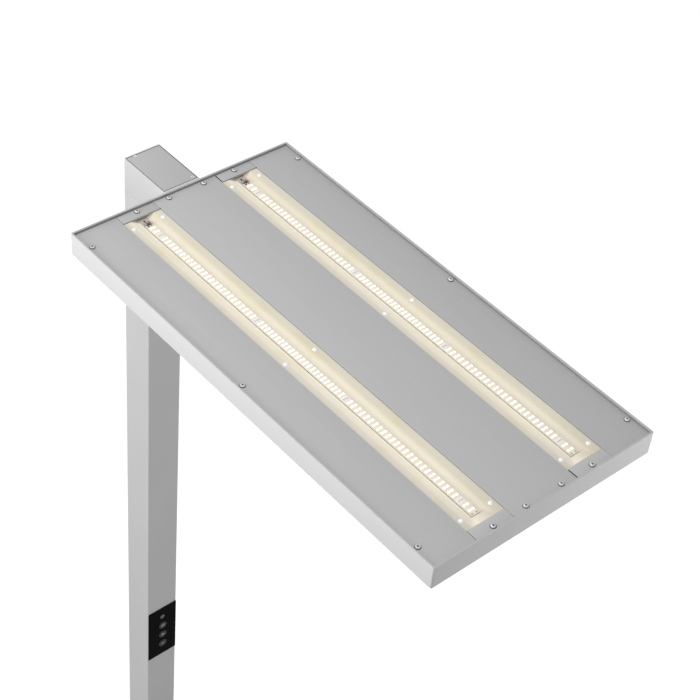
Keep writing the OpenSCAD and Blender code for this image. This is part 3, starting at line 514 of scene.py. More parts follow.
def solids_of(node):
    """The boxes, in millimetres, of a node's separate solids."""
    made = bmesh.new()
    made.from_mesh(frame["nodes"][node].data)
    bmesh.ops.remove_doubles(made, verts=made.verts, dist=WELD)
    seen = set()
    boxes = []
    for start in made.verts:
        if start in seen:
            continue
        seen.add(start)
        todo, places = [start], []
        while todo:
            vert = todo.pop()
            places.append(vert.co / MM)
            for edge in vert.link_edges:
                other = edge.other_vert(vert)
                if other not in seen:
                    seen.add(other)
                    todo.append(other)
        boxes.append((Vector([min(p[i] for p in places) for i in range(3)]),
                      Vector([max(p[i] for p in places) for i in range(3)])))
    made.free()
    return sorted(boxes, key=lambda box: [round(v, 2) for v in box[0]])


def applied(piece):
    """Bakes the piece's modifiers into its mesh."""
    graph = bpy.context.evaluated_depsgraph_get()
    mesh = bpy.data.meshes.new_from_object(piece.evaluated_get(graph))
    piece.modifiers.clear()
    piece.data = mesh
    return piece


FLAT_ANGLE = math.radians(0.5)
BEVEL_ANGLE = math.radians(30)
BEVEL_STEPS = 2
FACE_WEIGHT = 100


def soften(node, width, finish=None):
    """A copy of a CAD node, its edges broken by a small radius, takes the node's place."""
    mesh = frame["nodes"][node].data.copy()
    made = bmesh.new()
    made.from_mesh(mesh)
    bmesh.ops.remove_doubles(made, verts=made.verts, dist=COARSE_WELD)
    bmesh.ops.dissolve_limit(made, angle_limit=FLAT_ANGLE, verts=made.verts, edges=made.edges)
    for face in made.faces:
        face.smooth = True
    made.to_mesh(mesh)
    made.free()
    piece = shown(node + "_skin", mesh, [FINISH[finish or SLOT_OF[node]]])
    edge = piece.modifiers.new("edge", "BEVEL")
    edge.width = width * MM
    edge.segments = BEVEL_STEPS
    edge.limit_method = "ANGLE"
    edge.angle_limit = BEVEL_ANGLE
    flat = piece.modifiers.new("flat", "WEIGHTED_NORMAL")
    flat.weight = FACE_WEIGHT
    applied(piece)
    stand_for(piece, node)


# Every CAD node takes its slot's finish at first; the leads' slot has none, and they are drawn
for node_name, part in frame["nodes"].items():
    part.data.materials.clear()
    part.data.materials.append(FINISH.get(SLOT_OF[node_name], FINISH["cable_dark"]))

# Head: edge profile and top sheets
HEAD_LOW, HEAD_HIGH = box_mm("head_frame")
HEAD_MIDDLE = (HEAD_LOW + HEAD_HIGH) / 2
PANEL_LOW, PANEL_HIGH = box_mm("centre_panel")
RIM_WALL = 2.5
RIM_R = 2.2
RIM_EDGE = 0.35
LEDGE_W = 14.0
LEDGE_T = 1.5
LIP_W = 9.0
LIP_T = 1.5
CORNER_STEPS = 8
SHEET_EDGE = 0.15


def head_loop(inset, z):
    """The head's outline at a distance in from its outer face."""
    radius = max(RIM_R - inset, RIM_EDGE)
    return [(x, y, z) for x, y in rounded_rect(
        HEAD_LOW.x + inset, HEAD_HIGH.x - inset, HEAD_LOW.y + inset, HEAD_HIGH.y - inset,
        radius, CORNER_STEPS)]


def is_inside(place):
    """Whether a point lies on or inside the edge profile's inner wall."""
    reach = RIM_WALL - RIM_EDGE / 2
    return (abs(place.x / MM - HEAD_MIDDLE.x) < (HEAD_HIGH.x - HEAD_LOW.x) / 2 - reach
            and abs(place.y / MM - HEAD_MIDDLE.y) < (HEAD_HIGH.y - HEAD_LOW.y) / 2 - reach)


def draw_head_frame():
    """The edge profile: a rim, a ledge for the sheets and a lip below. Its top faces take the
    sheets' darker grey and its inner wall a dark grey, both painted shade.
    """
    top, bottom = HEAD_HIGH.z, HEAD_LOW.z
    ledge = PANEL_LOW.z
    crest = [(inset, z) for inset, z in edge_steps(RIM_EDGE, bottom, top) if z > bottom + LIP_T]
    profile = [(RIM_EDGE, bottom), (0, bottom + RIM_EDGE)] + crest
    profile += [(RIM_WALL - RIM_EDGE, top), (RIM_WALL, top - RIM_EDGE), (RIM_WALL, ledge),
                (LEDGE_W, ledge), (LEDGE_W, ledge - LEDGE_T), (RIM_WALL, ledge - LEDGE_T),
                (RIM_WALL, bottom + LIP_T), (LIP_W - RIM_EDGE, bottom + LIP_T),
                (LIP_W, bottom + LIP_T - RIM_EDGE), (LIP_W, bottom + RIM_EDGE),
                (LIP_W - RIM_EDGE, bottom)]
    sketch = Sketch().use("frame_side")
    sketch.skin([head_loop(inset, z) for inset, z in profile], around=True)
    # Painted shade: the rim's top faces take the sheets' darker grey, against the profile's lighter
    # sides
    sketch.use("silver_sheet").mark(lambda face: face.normal.z > RISING)
    # The inner wall above the ledge is painted dark grey, a painted shade in the recess round the
    # sheets
    sketch.use("frame_inside_painted_shade").mark(lambda face: abs(face.normal.z) < SIDEWAYS and all(
        is_inside(vert.co) and ledge * MM - MM < vert.co.z for vert in face.verts))
    sketch.stand_for("head_frame")


def draw_sheet(node, finish="silver_sheet"):
    low, high = box_mm(node)
    sketch = Sketch().use(finish).slab(low, high, SHEET_EDGE)
    # The sheet's cut edges are painted dark, a painted shade in the seams round it
    sketch.use("painted_seam_shade").mark(lambda face: abs(face.normal.z) < ALONG)
    sketch.stand_for(node)


# Light channels: trays with their end tabs, and the cream film
TAB_GAP = 0.55
TAB_SHIFTS = {LEFT: (-0.2, -0.1), RIGHT: (0.9, 0.9)}  # the rear and the front tab of each tray
TAB_CLOSE = 0.38
TAB_EDGE = 0.2
RELIEF_HALF = 0.55
RELIEF_OUT = 0.3
TRAY_T = 1.0
SLOT_HALF = 6.3
SLOT_GAP = 0.45
SLOT_MORE = 0.8
FILM_T = 0.4
FILM_FLAT = 17.0
FILM_FOOT = 7.3
FILM_END = 0.4
NOTCH_HALF = 15.5
NOTCH_L = 6.5
NOTCH_STEPS = 12
FILM_ROWS = 240
FILM_COLUMNS = 14
FILM_WAVE = 0.22
WAVE_X, WAVE_Y = 34.0, 16.0
WAVE_END = 15.0
FILM_LOW, FILM_HIGH = box_mm("reflector_right")
OPENING_X0 = FILM_LOW.x - TRAY_T
OPENING_X1 = FILM_HIGH.x + FILM_END
BOARD_LOW, BOARD_HIGH = box_mm("led_board_right")


def draw_tray(side, node):
    """A trough with its end walls and tabs, the fine gaps round the tabs painted dark as painted
    shade, and the board's seat with a dark strip of painted shade along the slot.
    """
    low, high = box_mm(node)
    floor = PANEL_LOW.z
    half = OPENING_HALF - TAB_GAP
    outer = (high.y - low.y) / 2
    y = side * CHANNEL_Y
    top, under, foot = floor - FILM_T, floor - FILM_T - TRAY_T, BOARD_LOW.z
    shelf = BOARD_HIGH.z - FILM_T
    upper = [(-outer, top), (-FILM_FLAT, top), (-FILM_FOOT, shelf), (-SLOT_HALF, foot)]
    lower = [(-outer, under), (-FILM_FLAT, under), (-FILM_FOOT, foot - TRAY_T)]
    section = (upper + [(-a, z) for a, z in reversed(upper)] + [(-a, z) for a, z in lower]
               + list(reversed(lower)))
    sketch = Sketch()
    inner = RIM_WALL + TAB_GAP
    spans = ((HEAD_LOW.x + inner, OPENING_X0), (OPENING_X1, HEAD_HIGH.x - inner))
    for (x0, x1), shift in zip(spans, TAB_SHIFTS[side]):
        sketch.use("silver_sheet").slab((x0, y - half + shift, floor),
                                        (x1, y + half + TAB_CLOSE, PANEL_HIGH.z), TAB_EDGE)
        # Painted shade: dark slabs under the slits beside each tab
        sketch.use("painted_gap_shade")
        for edge in (LEFT, RIGHT):
            slit = y + edge * half
            sketch.slab((x0, slit - TAB_GAP, floor), (x1, slit + 2 * TAB_GAP, floor + HAIR),
                        HAIR / 2)
    # The tabs' side walls in the slits are painted dark too, a painted shade
    sketch.mark(lambda face: abs(face.normal.y) > ALONG)
    # Painted shade: a dark dot at each rear corner of the opening stands for the shade in a corner
    # relief
    for edge in (LEFT, RIGHT):
        corner = y + edge * (OPENING_HALF + RELIEF_OUT)
        sketch.slab((OPENING_X0 - RELIEF_HALF, corner - RELIEF_HALF, floor),
                    (OPENING_X0 + RELIEF_HALF, corner + RELIEF_HALF, PANEL_HIGH.z + HAIR / 2),
                    HAIR / 2)
    # Painted shade: a dark strip under the slot's edges, round the board
    sketch.use("board_slot_painted_shade")
    sketch.slab((BOARD_LOW.x, y - SLOT_HALF - 2 * SLOT_MORE, shelf - TRAY_T),
                (BOARD_HIGH.x + 2 * SLOT_GAP, y + SLOT_HALF + SLOT_MORE, shelf), HAIR)
    sketch.use("board_white")
    sketch.slab((BOARD_LOW.x, y - SLOT_HALF, shelf - TRAY_T),
                (BOARD_HIGH.x, y + SLOT_HALF, BOARD_HIGH.z - MASK_T), HAIR)
    sketch.use("tray_inside")
    sketch.skin([[(x, y + across, z) for across, z in section]
                 for x in (HEAD_LOW.x + LEDGE_W + TAB_GAP, HEAD_HIGH.x - LEDGE_W - TAB_GAP)])
    for x in (OPENING_X0 - TRAY_T, OPENING_X1):
        sketch.slab((x, y - half, under), (x + TRAY_T, y + half, PANEL_HIGH.z - TAB_EDGE), TAB_EDGE)
    sketch.stand_for(node)


def film_height(x, across):
    """Share of the film's rise: none beside the board, all at the sheets and at the front end."""
    aside = (abs(across) - FILM_FOOT) / (FILM_FLAT - FILM_FOOT)
    ahead = (x - BOARD_HIGH.x) / (OPENING_X1 - BOARD_HIGH.x)
    share = min(1.0, max(0.0, aside, ahead))
    return share * share * (3 - 2 * share)


def film_inner(x):
    """Half width of the cut in the film's middle: rear notch, then slot, then none."""
    if x > BOARD_HIGH.x + SLOT_GAP:
        return 0.0
    share = min(1.0, (x - OPENING_X0) / NOTCH_L)
    return SLOT_HALF + (NOTCH_HALF - SLOT_HALF) * (1 + math.cos(math.pi * share)) / 2


def draw_film(side, node):
    """Two wings of film with the cut for the board between them, in faint waves."""
    low, high = box_mm(node)
    half = (high.y - low.y) / 2
    slot_x1 = BOARD_HIGH.x + SLOT_GAP
    xs = [low.x + (high.x - low.x) * i / FILM_ROWS for i in range(FILM_ROWS + 1)]
    xs += [OPENING_X0 + NOTCH_L * k / NOTCH_STEPS for k in range(2, NOTCH_STEPS + 1)]
    xs = sorted(xs + [slot_x1, slot_x1 + SLOT_GAP / 10])
    made = bmesh.new()
    for edge in (LEFT, RIGHT):
        rows = []
        for x in xs:
            inner = film_inner(x)
            inner += SLOT_MORE if edge == LEFT and inner else 0.0
            ends = min(1.0, (x - low.x) / WAVE_END, (high.x - x) / WAVE_END)
            row = []
            for k in range(FILM_COLUMNS + 1):
                across = inner + (half - inner) * k / FILM_COLUMNS
                rise = film_height(x, across)
                free = max(0.0, 1 - across / OPENING_HALF) * min(1.0, across / FILM_FOOT) * ends
                wave = noise.noise(Vector((x / WAVE_X, edge * across / WAVE_Y, side)))
                z = BOARD_HIGH.z + (high.z - BOARD_HIGH.z) * rise + FILM_WAVE * free * wave
                row.append(made.verts.new(Vector((x, side * CHANNEL_Y + edge * across, z)) * MM))
            rows.append(row)
        for near, far in zip(rows, rows[1:]):
            for k in range(FILM_COLUMNS):
                made.faces.new((near[k], near[k + 1], far[k + 1], far[k])[::-edge])
    bmesh.ops.remove_doubles(made, verts=made.verts, dist=WELD)
    piece = shown(node + "_skin", mesh_of(made, node + "_skin"), [FINISH["film"]])
    thick = piece.modifiers.new("thick", "SOLIDIFY")
    thick.thickness = FILM_T * MM
    thick.offset = -1
    smooth_by_angle(applied(piece).data, ROUND_SMOOTH)
    stand_for(piece, node)


# Circuit boards and light sources
MASK_T = 0.1
MASK_INSET = 0.3
PAD_L, PAD_W, PAD_T = 2.2, 2.6, 0.06
PAD_BACK = 2.6
PAD_SPREAD = 3.1
RESISTOR_L, RESISTOR_W, RESISTOR_H = 1.6, 0.8, 0.5
RESISTOR_ROWS = (-2.6, 0.0, 2.6)
PATCH_L, PATCH_W = 7.0, 9.6
PAIR_PITCH = 8.1
WIDE_GAP = 1.5 * PAIR_PITCH
LED_WALL = 0.25
LED_EDGE = 0.1
LED_BASE = 0.35


def led_gaps(leds):
    """Middles of the wide gaps between the light sources."""
    xs = sorted({round((low.x + high.x) / 2, 2) for low, high in leds})
    return [(a + b) / 2 for a, b in zip(xs, xs[1:]) if b - a > WIDE_GAP]


def flat_piece(sketch, x, y, z, length, width, height, edge):
    """A slab round a place on the board, sunk into it by one pad's thickness."""
    sketch.slab((x - length / 2, y - width / 2, z - PAD_T),
                (x + length / 2, y + width / 2, z + height), edge)


def draw_board(side, node, led_node):
    """A white-topped board with end pads, and a patch with resistors in each wide gap."""
    low, high = box_mm(node)
    y = side * CHANNEL_Y
    # The board's body is near black, a painted shade along its edges in the slot
    sketch = Sketch().use("board_slot_painted_shade")
    sketch.slab(low, (high.x, high.y, high.z - MASK_T), HAIR)
    sketch.use("board_white")
    sketch.slab((low.x + MASK_INSET, low.y + MASK_INSET, high.z - 2 * MASK_T),
                (high.x - MASK_INSET, high.y - MASK_INSET, high.z), HAIR)
    sketch.use("pad_tin")
    for x in (low.x + PAD_BACK, high.x - PAD_BACK):
        for across in (-PAD_SPREAD, PAD_SPREAD):
            flat_piece(sketch, x, y + across, high.z, PAD_L, PAD_W, PAD_T, PAD_T / 2)
    for middle in led_gaps(solids_of(led_node)):
        sketch.use("board_patch")
        flat_piece(sketch, middle, y, high.z, PATCH_L, PATCH_W, PAD_T / 2, PAD_T / 4)
        for across in RESISTOR_ROWS:
            sketch.use("pad_tin")
            for end in (LEFT, RIGHT):
                flat_piece(sketch, middle + end * RESISTOR_L / 2, y + across, high.z,
                           RESISTOR_W, RESISTOR_W, PAD_T, PAD_T / 2)
            sketch.use("resistor")
            flat_piece(sketch, middle, y + across, high.z,
                       RESISTOR_L, RESISTOR_W, RESISTOR_H, PAD_T)
    sketch.stand_for(node)


def draw_leds(node):
    """A low frame with a bright block in it for each light source."""
    sketch = Sketch()
    wall = Vector((LED_WALL, LED_WALL, 0))
    for low, high in solids_of(node):
        sketch.use("led_frame").slab(low, (high.x, high.y, low.z + LED_BASE), LED_EDGE)
        sketch.use("led").slab(low + wall, high - wall, LED_EDGE)
    sketch.stand_for(node)


# Rivets and screws
RIVET_R = 3.0
RIVET_SHANK = 1.4
RIVET_LIFT = 0.05
DOME_STEPS = 8
RIVET_STEPS = 28
SCREW_R = 3.8
SCREW_SHANK = 1.9
SCREW_L = 4.0
SCREW_H = 2.2
SCREW_EDGE = 0.14
SOCKET = 2.5
SOCKET_DEPTH = 1.0
SOCKET_EDGE = 0.14
SKIRT_SHADE_SHARE = 0.76
SCREW_TURN = 0.7
CREST_SHARE = 0.97
DOME_SHARES = (0.97, 0.9, 0.8, 0.7, 0.6, 0.5)
CAP_SCREW_R = 2.1
CAP_SCREW_RISE = 0.12
CAP_SOCKET_R = 0.95
CAP_SHADE_RING = 0.3
SCREW_STEPS = 36


def draw_rivets(node):
    """Shanks with shallow domes that stand on the film."""
    sketch = Sketch().use("nylon")
    seat = FILM_HIGH.z - RIVET_LIFT
    for low, high in solids_of(node):
        middle = (low + high) / 2
        rise = high.z - seat
        ball = (RIVET_R ** 2 + rise ** 2) / (2 * rise)
        widest = math.asin(RIVET_R / ball)
        turns = [widest * (1 - k / DOME_STEPS) for k in range(DOME_STEPS)]
        profile = [(RIVET_SHANK, low.z), (RIVET_SHANK, seat)]
        profile += [(ball * math.sin(t), high.z - ball + ball * math.cos(t)) for t in turns]
        sketch.lathe((middle.x, middle.y, 0), (0, 0, 1), profile, RIVET_STEPS)
    sketch.stand_for(node, ROUND_SMOOTH)


def hexagon_reach(turn):
    """Distance from a socket's middle to its wall."""
    sixth = 2 * math.pi / HEXAGON
    return SOCKET / 2 / math.cos((turn + sixth / 2) % sixth - sixth / 2)


def draw_button_screw(sketch, x, y, seat, start):
    """A domed head with a hexagon socket, turned by the angle start, and a shank below it."""
    turns = round_turns(SCREW_STEPS)

    def ring(radius, z, share=0.0):
        """A round ring, or the socket's outline at share 1."""
        reaches = [radius + share * hexagon_reach(t) for t in turns]
        return [(x + r * math.cos(t + start), y + r * math.sin(t + start), z)
                for r, t in zip(reaches, turns)]

    ball = (SCREW_R ** 2 + SCREW_H ** 2) / (2 * SCREW_H)
    crest = seat + SCREW_H * CREST_SHARE
    rings = [ring(SCREW_SHANK, seat - SCREW_L), ring(SCREW_SHANK, seat + HAIR),
             ring(SCREW_R - SCREW_EDGE, seat + HAIR), ring(SCREW_R, seat + SCREW_EDGE)]
    for share in DOME_SHARES:
        radius = SCREW_R * share
        rings.append(ring(radius, seat + SCREW_H - ball + math.sqrt(ball ** 2 - radius ** 2)))
    rings += [ring(SOCKET_EDGE, crest, 1), ring(0, crest - SOCKET_EDGE, 1),
              ring(0, crest - SOCKET_DEPTH, 1)]
    sketch.use("screw_crest").skin(rings)
    middle = Vector((x, y))

    def from_axis(face):
        return (face.calc_center_median().to_2d() / MM - middle).length

    # The outer part of the dome is painted near black, a painted shade round the head
    sketch.use("screw_skirt_painted_shade").mark(
        lambda face: SCREW_R * SKIRT_SHADE_SHARE < from_axis(face) < 2 * SCREW_R)
    floor = crest - SOCKET_DEPTH
    # Painted shade: a dark hexagon on the socket's floor
    sketch.use("painted_gap_shade").skin([ring(-HAIR, floor, 1), ring(-HAIR, floor + HAIR, 1)])


def draw_panel_screws(node):
    sketch = Sketch()
    for i, (low, high) in enumerate(solids_of(node)):
        middle = (low + high) / 2
        draw_button_screw(sketch, middle.x, middle.y, PANEL_HIGH.z, SCREW_TURN * i)
    sketch.stand_for(node, SCREW_SMOOTH)


def draw_cap_screws(node):
    """Countersunk screws, flush with the cap: each head is painted near white, its own pale steel
    grey with a painted highlight, with a grey hexagon of painted shade for its socket, in a thin
    dark ring of painted shade.
    """
    sketch = Sketch()
    ring_r = CAP_SCREW_R + CAP_SHADE_RING
    for low, high in solids_of(node):
        middle = ((low + high) / 2).to_2d().to_3d()
        top = high.z + CAP_SCREW_RISE
        sketch.use("painted_seam_shade").lathe(middle, (0, 0, 1), [
            (ring_r, top - 2 * HAIR), (ring_r, top - HAIR)], SMALL_STEPS)
        sketch.use("cap_screw_painted_highlight").lathe(middle, (0, 0, 1), [
            (CAP_SCREW_R / 2, low.z), (CAP_SCREW_R / 2, top - CAP_SCREW_R / 2),
            (CAP_SCREW_R, top - SCREW_EDGE), (CAP_SCREW_R - SCREW_EDGE, top), (CAP_SOCKET_R, top),
            (CAP_SOCKET_R, top - SCREW_EDGE)], SMALL_STEPS)
        sketch.use("socket_painted_shade").lathe(middle, (0, 0, 1), [
            (CAP_SOCKET_R - HAIR, top - SCREW_EDGE),
            (CAP_SOCKET_R - HAIR, top - SCREW_EDGE + HAIR)], HEXAGON)
    sketch.stand_for(node, SCREW_SMOOTH)


# Connectors and leads
LEAD_R = 0.6
LEAD_PITCH = 3.0
ARCH = [(-1.4, 2.6), (-1.4, 3.1), (-1.2, 3.6), (-0.7, 4.0), (0.0, 4.15), (0.8, 4.1), (1.6, 3.85),
        (2.3, 3.4), (2.8, 2.8), (3.0, 2.1), (3.0, 1.6)]
CAP_STEP = 0.6
PORT = 1.2
TRUNK_R = 0.75
TRUNK_BEND = 1.2
TRUNK_LEAN = 4.8


def draw_connectors(node):
    """Stepped bodies with a port for each lead, painted dark as painted shade."""
    sketch = Sketch()
    for low, high in solids_of(node):
        y = (low.y + high.y) / 2
        sketch.use("connector_grey").slab(low, (high.x, high.y, high.z - CAP_STEP), TAB_EDGE)
        sketch.slab((low.x + CAP_STEP, low.y + CAP_STEP, low.z),
                    (high.x, high.y - CAP_STEP, high.z), TAB_EDGE)
        sketch.use("painted_gap_shade")
        for across in (LEFT, RIGHT):
            middle = y + across * LEAD_PITCH / 2
            sketch.slab((low.x + PORT, middle - PORT / 2, high.z - MASK_T),
                        (low.x + 2 * PORT, middle + PORT / 2, high.z + HAIR), HAIR)
    sketch.stand_for(node)


def draw_leads(side, node):
    """A black and a red lead that arch into the connector, and a trunk to the terminal block."""
    low, high = [box for box in solids_of("connectors") if box[0].y * side > 0][0]
    block_low, block_high = box_mm("terminal_block")
    node_low = box_mm(node)[0]
    y = side * CHANNEL_Y
    sketch = Sketch()
    for across, finish in ((LEFT, "lead_black"), (RIGHT, "lead_red")):
        points = [(high.x + x, y + across * LEAD_PITCH / 2, low.z + z) for x, z in ARCH]
        sketch.use(finish).tube(points, LEAD_R)
    middle_z = (low.z + high.z) / 2 - TRUNK_R
    drop_x, floor_z = node_low.x + TRUNK_R, node_low.z + TRUNK_R
    block_x = (block_low.x + block_high.x) / 2
    sketch.use("cable_dark").tube([
        (low.x, y, middle_z), (drop_x + TRUNK_BEND, y, middle_z),
        (drop_x, y, middle_z - TRUNK_BEND), (drop_x, y, floor_z + TRUNK_BEND),
        (drop_x + TRUNK_BEND, y - side * TRUNK_BEND, floor_z),
        (block_x, side * (block_high.y + TRUNK_LEAN), floor_z),
        (block_x, side * block_high.y, floor_z)], TRUNK_R)
    sketch.stand_for(node, LEAD_SMOOTH)


# Arm box, its cap and its grub screws
ARM_R = 1.2
ARM_EDGE = 0.3
CAP_INSET = 0.42
CAP_T = 1.5
CAP_JOINT = 0.8
ARM_STEPS = 4
CAP_STEPS = 3
GRUB_SOCKET_R = 1.3
GRUB_EDGE = 0.15


def draw_arm(node, cap_node):
    """The arm box with a recess in its top, and the cap that lies in it."""
    low, high = box_mm(node)
    cap_low, cap_high = box_mm(cap_node)
    gap = Vector((CAP_INSET, CAP_INSET, 0))
    rings = []
    for inset, z in edge_steps(ARM_EDGE, low.z, high.z):
        rings.append([(x, y, z) for x, y in rounded_rect(
            low.x + inset, high.x - inset, low.y + inset, high.y - inset,
            ARM_R - inset, ARM_STEPS)])
    for z in (high.z, high.z - CAP_JOINT):
        rings.append([(x, y, z) for x, y in rounded_rect(
            cap_low.x - CAP_INSET, cap_high.x + CAP_INSET, cap_low.y - CAP_INSET,
            cap_high.y + CAP_INSET, ARM_EDGE, ARM_STEPS)])

    def in_joint(face):
        """Whether a face is a wall or the floor of the recess that holds the cap; these faces are
        painted near black, a painted shade in the joint.
        """
        near_cap = all(cap_low.x - CAP_T < vert.co.x / MM < cap_high.x + CAP_T
                       and cap_low.y - CAP_T < vert.co.y / MM < cap_high.y + CAP_T
                       and vert.co.z / MM > high.z - CAP_T for vert in face.verts)
        return near_cap and (abs(face.normal.z) < TILTED
                             or face.calc_center_median().z / MM < high.z - ARM_EDGE)

    sketch = Sketch().use("silver_frame").skin(rings)
    sketch.use("painted_gap_shade").mark(in_joint)
    sketch.stand_for(node)
    cap = Sketch().use("silver_sheet")
    cap.slab(cap_low + gap, cap_high - gap, SHEET_EDGE, ARM_EDGE, CAP_STEPS)
    # The cap's side walls are painted near black, a painted shade in the joint
    cap.use("painted_gap_shade").mark(lambda face: abs(face.normal.z) < TILTED)
    cap.stand_for(cap_node)


def draw_grubs(node):
    """Short screws that face out of the arm's sides, each with a dark hexagon painted on its end, a
    painted shade for its hexagon socket.
    """
    sketch = Sketch()
    for low, high in solids_of(node):
        middle = (low + high) / 2
        side, inner, outer = (RIGHT, low.y, high.y) if middle.y > 0 else (LEFT, high.y, low.y)
        radius = (high.x - low.x) / 2
        seat = (middle.x, 0, middle.z)
        sketch.use("silver_frame").lathe(seat, (0, side, 0), [
            (radius - GRUB_EDGE, side * inner), (radius, side * inner + GRUB_EDGE),
            (radius, side * outer - GRUB_EDGE), (radius - GRUB_EDGE, side * outer)], SMALL_STEPS)
        sketch.use("painted_gap_shade").lathe(seat, (0, side, 0), [
            (GRUB_SOCKET_R, side * outer), (GRUB_SOCKET_R, side * outer + HAIR)], HEXAGON)
    sketch.stand_for(node, SCREW_SMOOTH)


# Push buttons with a ring, a cross and a bar on them
BUTTON_R = 7.0
BUTTON_EDGE = 0.5
BUTTON_STEPS = 4
BUTTON_TURNS = 40
RING_TURNS = 32
STEM_R = 2.2
FLANGE_T = 1.0
MARK_W = 0.8
MARK_REACH = 2.8
MARK_PROUD = 0.04


def draw_button(node, mark):
    """A round cap on a stem, with a flange behind the panel and a mark on the front."""
    low, high = box_mm(node)
    middle = Vector((0, (low.y + high.y) / 2, (low.z + high.z) / 2))
    flange = (high.z - low.z) / 2
    flange_x = box_mm("post")[1].x
    profile = [(STEM_R, low.x), (STEM_R, flange_x - FLANGE_T), (flange, flange_x - FLANGE_T),
               (flange, flange_x), (BUTTON_R, flange_x)]
    for k in range(BUTTON_STEPS + 1):
        turn = math.pi / 2 * k / BUTTON_STEPS
        profile.append((BUTTON_R - BUTTON_EDGE * (1 - math.cos(turn)),
                        high.x - BUTTON_EDGE * (1 - math.sin(turn))))
    sketch = Sketch().use("button_plastic").lathe(middle, (1, 0, 0), profile, BUTTON_TURNS)
    sketch.use("button_mark")
    back, front = high.x - MARK_PROUD, high.x + MARK_PROUD
    if mark == "ring":
        section = ((MARK_REACH, back), (MARK_REACH, front), (MARK_REACH - MARK_W, front),
                   (MARK_REACH - MARK_W, back))
        sketch.skin([[(x, middle.y + r * math.cos(t), middle.z + r * math.sin(t))
                      for t in round_turns(RING_TURNS)] for r, x in section], around=True)
    else:
        for tall in (False, True) if mark == "cross" else (False,):
            y, z = (MARK_W / 2, MARK_REACH) if tall else (MARK_REACH, MARK_W / 2)
            sketch.slab((back, middle.y - y, middle.z - z), (front, middle.y + y, middle.z + z),
                        MARK_PROUD / 4)
    sketch.stand_for(node)


draw_arm("arm_housing", "arm_cap")
for button, button_mark in (("button_power", "ring"), ("button_brighter", "cross"),
                            ("button_dimmer", "bar")):
    draw_button(button, button_mark)
draw_grubs("grub_screws")
draw_head_frame()
draw_sheet("outer_panel_left")
draw_sheet("outer_panel_right", "right_sheet_painted_shade")
draw_sheet("centre_panel")
for channel_side, side_name in ((LEFT, "left"), (RIGHT, "right")):
    draw_tray(channel_side, "led_tray_" + side_name)
    draw_film(channel_side, "reflector_" + side_name)
    draw_board(channel_side, "led_board_" + side_name, "leds_" + side_name)
    draw_leds("leds_" + side_name)
    draw_leads(channel_side, "leads_" + side_name)
draw_rivets("reflector_rivets")
draw_panel_screws("panel_screws")
draw_cap_screws("cap_screws")
draw_connectors("connectors")

# These CAD nodes keep their shape, with edges softened by so many millimetres
EDGE_OF = {"post": 0.2, "base_plate": 1.2, "cord_gland": 0.5, "presence_sensor": 0.1,
           "centre_pad": 0.4, "base_pads": 0.5}
FASCIA_EDGE = 0.35
for node_name, edge_width in EDGE_OF.items():
    soften(node_name, edge_width)
soften("control_fascia", FASCIA_EDGE, "black_gloss")


# Floor, light and world
WHITE = (1, 1, 1, 1)
FLOOR_SIZE = 14.0
FLOOR_GREY = (0.5, 0.5, 0.5)
FLOOR_GLOW = 0.73
SKY_STRENGTH = 0.47
LAMPS = {  # place, target, size across and energy
    "side_lamp": ((-0.2, -1.5, 2.2), (0.2, 0.0, 1.95), 1.0, 15),
    "front_lamp": ((1.15, 0.75, 1.8), (0.69, 0.1, 1.9), 0.5, 3.85),
    "top_lamp": ((0.15, -1.2, 4.6), HEAD_MIDDLE * MM, 2.4, 47),
}


def background_rays(tree):
    """1 for rays that meet the background straight from the camera, or by gloss or glass."""
    path = tree.nodes.new("ShaderNodeLightPath")
    total = path.outputs["Is Camera Ray"]
    for ray in ("Is Glossy Ray", "Is Transmission Ray"):
        step = tree.nodes.new("ShaderNodeMath")
        step.operation = "ADD"
        step.use_clamp = True
        tree.links.new(total, step.inputs[0])
        tree.links.new(path.outputs[ray], step.inputs[1])
        total = step.outputs["Value"]
    return total


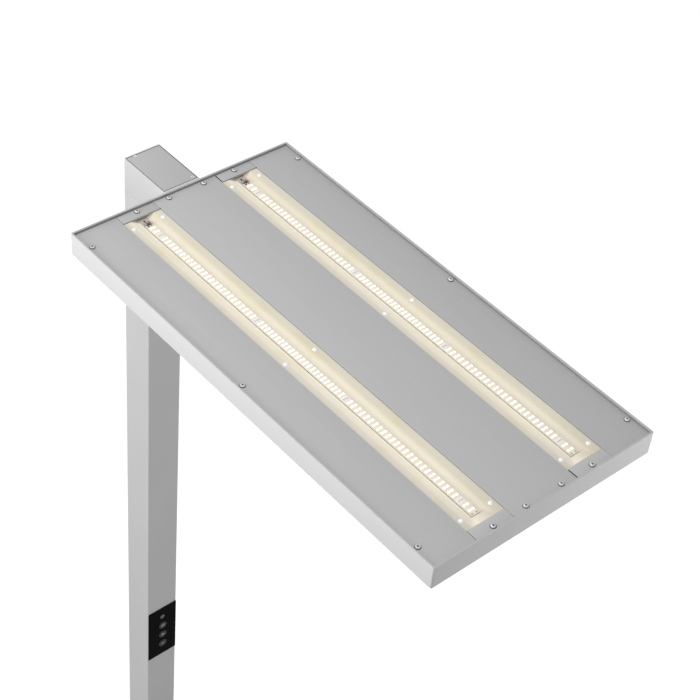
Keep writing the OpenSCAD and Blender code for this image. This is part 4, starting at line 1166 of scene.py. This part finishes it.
def make_floor():
    """A matt floor that shows white to the camera but still takes shadows."""
    made = bmesh.new()
    bmesh.ops.create_grid(made, x_segments=1, y_segments=1, size=FLOOR_SIZE)
    mesh = mesh_of(made, "floor")
    look = Shader("floor", FLOOR_GREY, roughness=0.9)
    glow = look.node("ShaderNodeEmission")
    glow.inputs["Strength"].default_value = FLOOR_GLOW
    mixed = look.node("ShaderNodeAddShader")
    pick = look.node("ShaderNodeMixShader")
    look.link(look.surface.outputs["BSDF"], mixed.inputs[0])
    look.link(glow.outputs["Emission"], mixed.inputs[1])
    look.link(background_rays(look.tree), pick.inputs["Fac"])
    look.link(look.surface.outputs["BSDF"], pick.inputs[1])
    look.link(mixed.outputs["Shader"], pick.inputs[2])
    look.link(pick.outputs["Shader"], look.tree.nodes["Material Output"].inputs["Surface"])
    shown("floor", mesh, [look.material])


def make_world():
    """A white background, with a weaker even light for everything else."""
    world = bpy.data.worlds.new("studio")
    world.use_nodes = True
    tree = world.node_tree
    sky = tree.nodes["Background"]
    sky.inputs["Color"].default_value = WHITE
    sky.inputs["Strength"].default_value = SKY_STRENGTH
    white = tree.nodes.new("ShaderNodeBackground")
    white.inputs["Color"].default_value = WHITE
    pick = tree.nodes.new("ShaderNodeMixShader")
    tree.links.new(background_rays(tree), pick.inputs["Fac"])
    tree.links.new(sky.outputs["Background"], pick.inputs[1])
    tree.links.new(white.outputs["Background"], pick.inputs[2])
    tree.links.new(pick.outputs["Shader"], tree.nodes["World Output"].inputs["Surface"])
    bpy.context.scene.world = world


def make_lamp(name, place, target, size, energy):
    data = bpy.data.lights.new(name, "AREA")
    data.shape = "DISK"
    data.size = size
    data.energy = energy
    lamp = bpy.data.objects.new(name, data)
    lamp.visible_camera = False
    lamp.location = place
    lamp.rotation_euler = (Vector(target) - Vector(place)).to_track_quat("-Z", "Y").to_euler()
    bpy.context.collection.objects.link(lamp)


make_floor()
make_world()
for lamp_name, settings in LAMPS.items():
    make_lamp(lamp_name, *settings)
bpy.context.scene.view_settings.view_transform = "Standard"
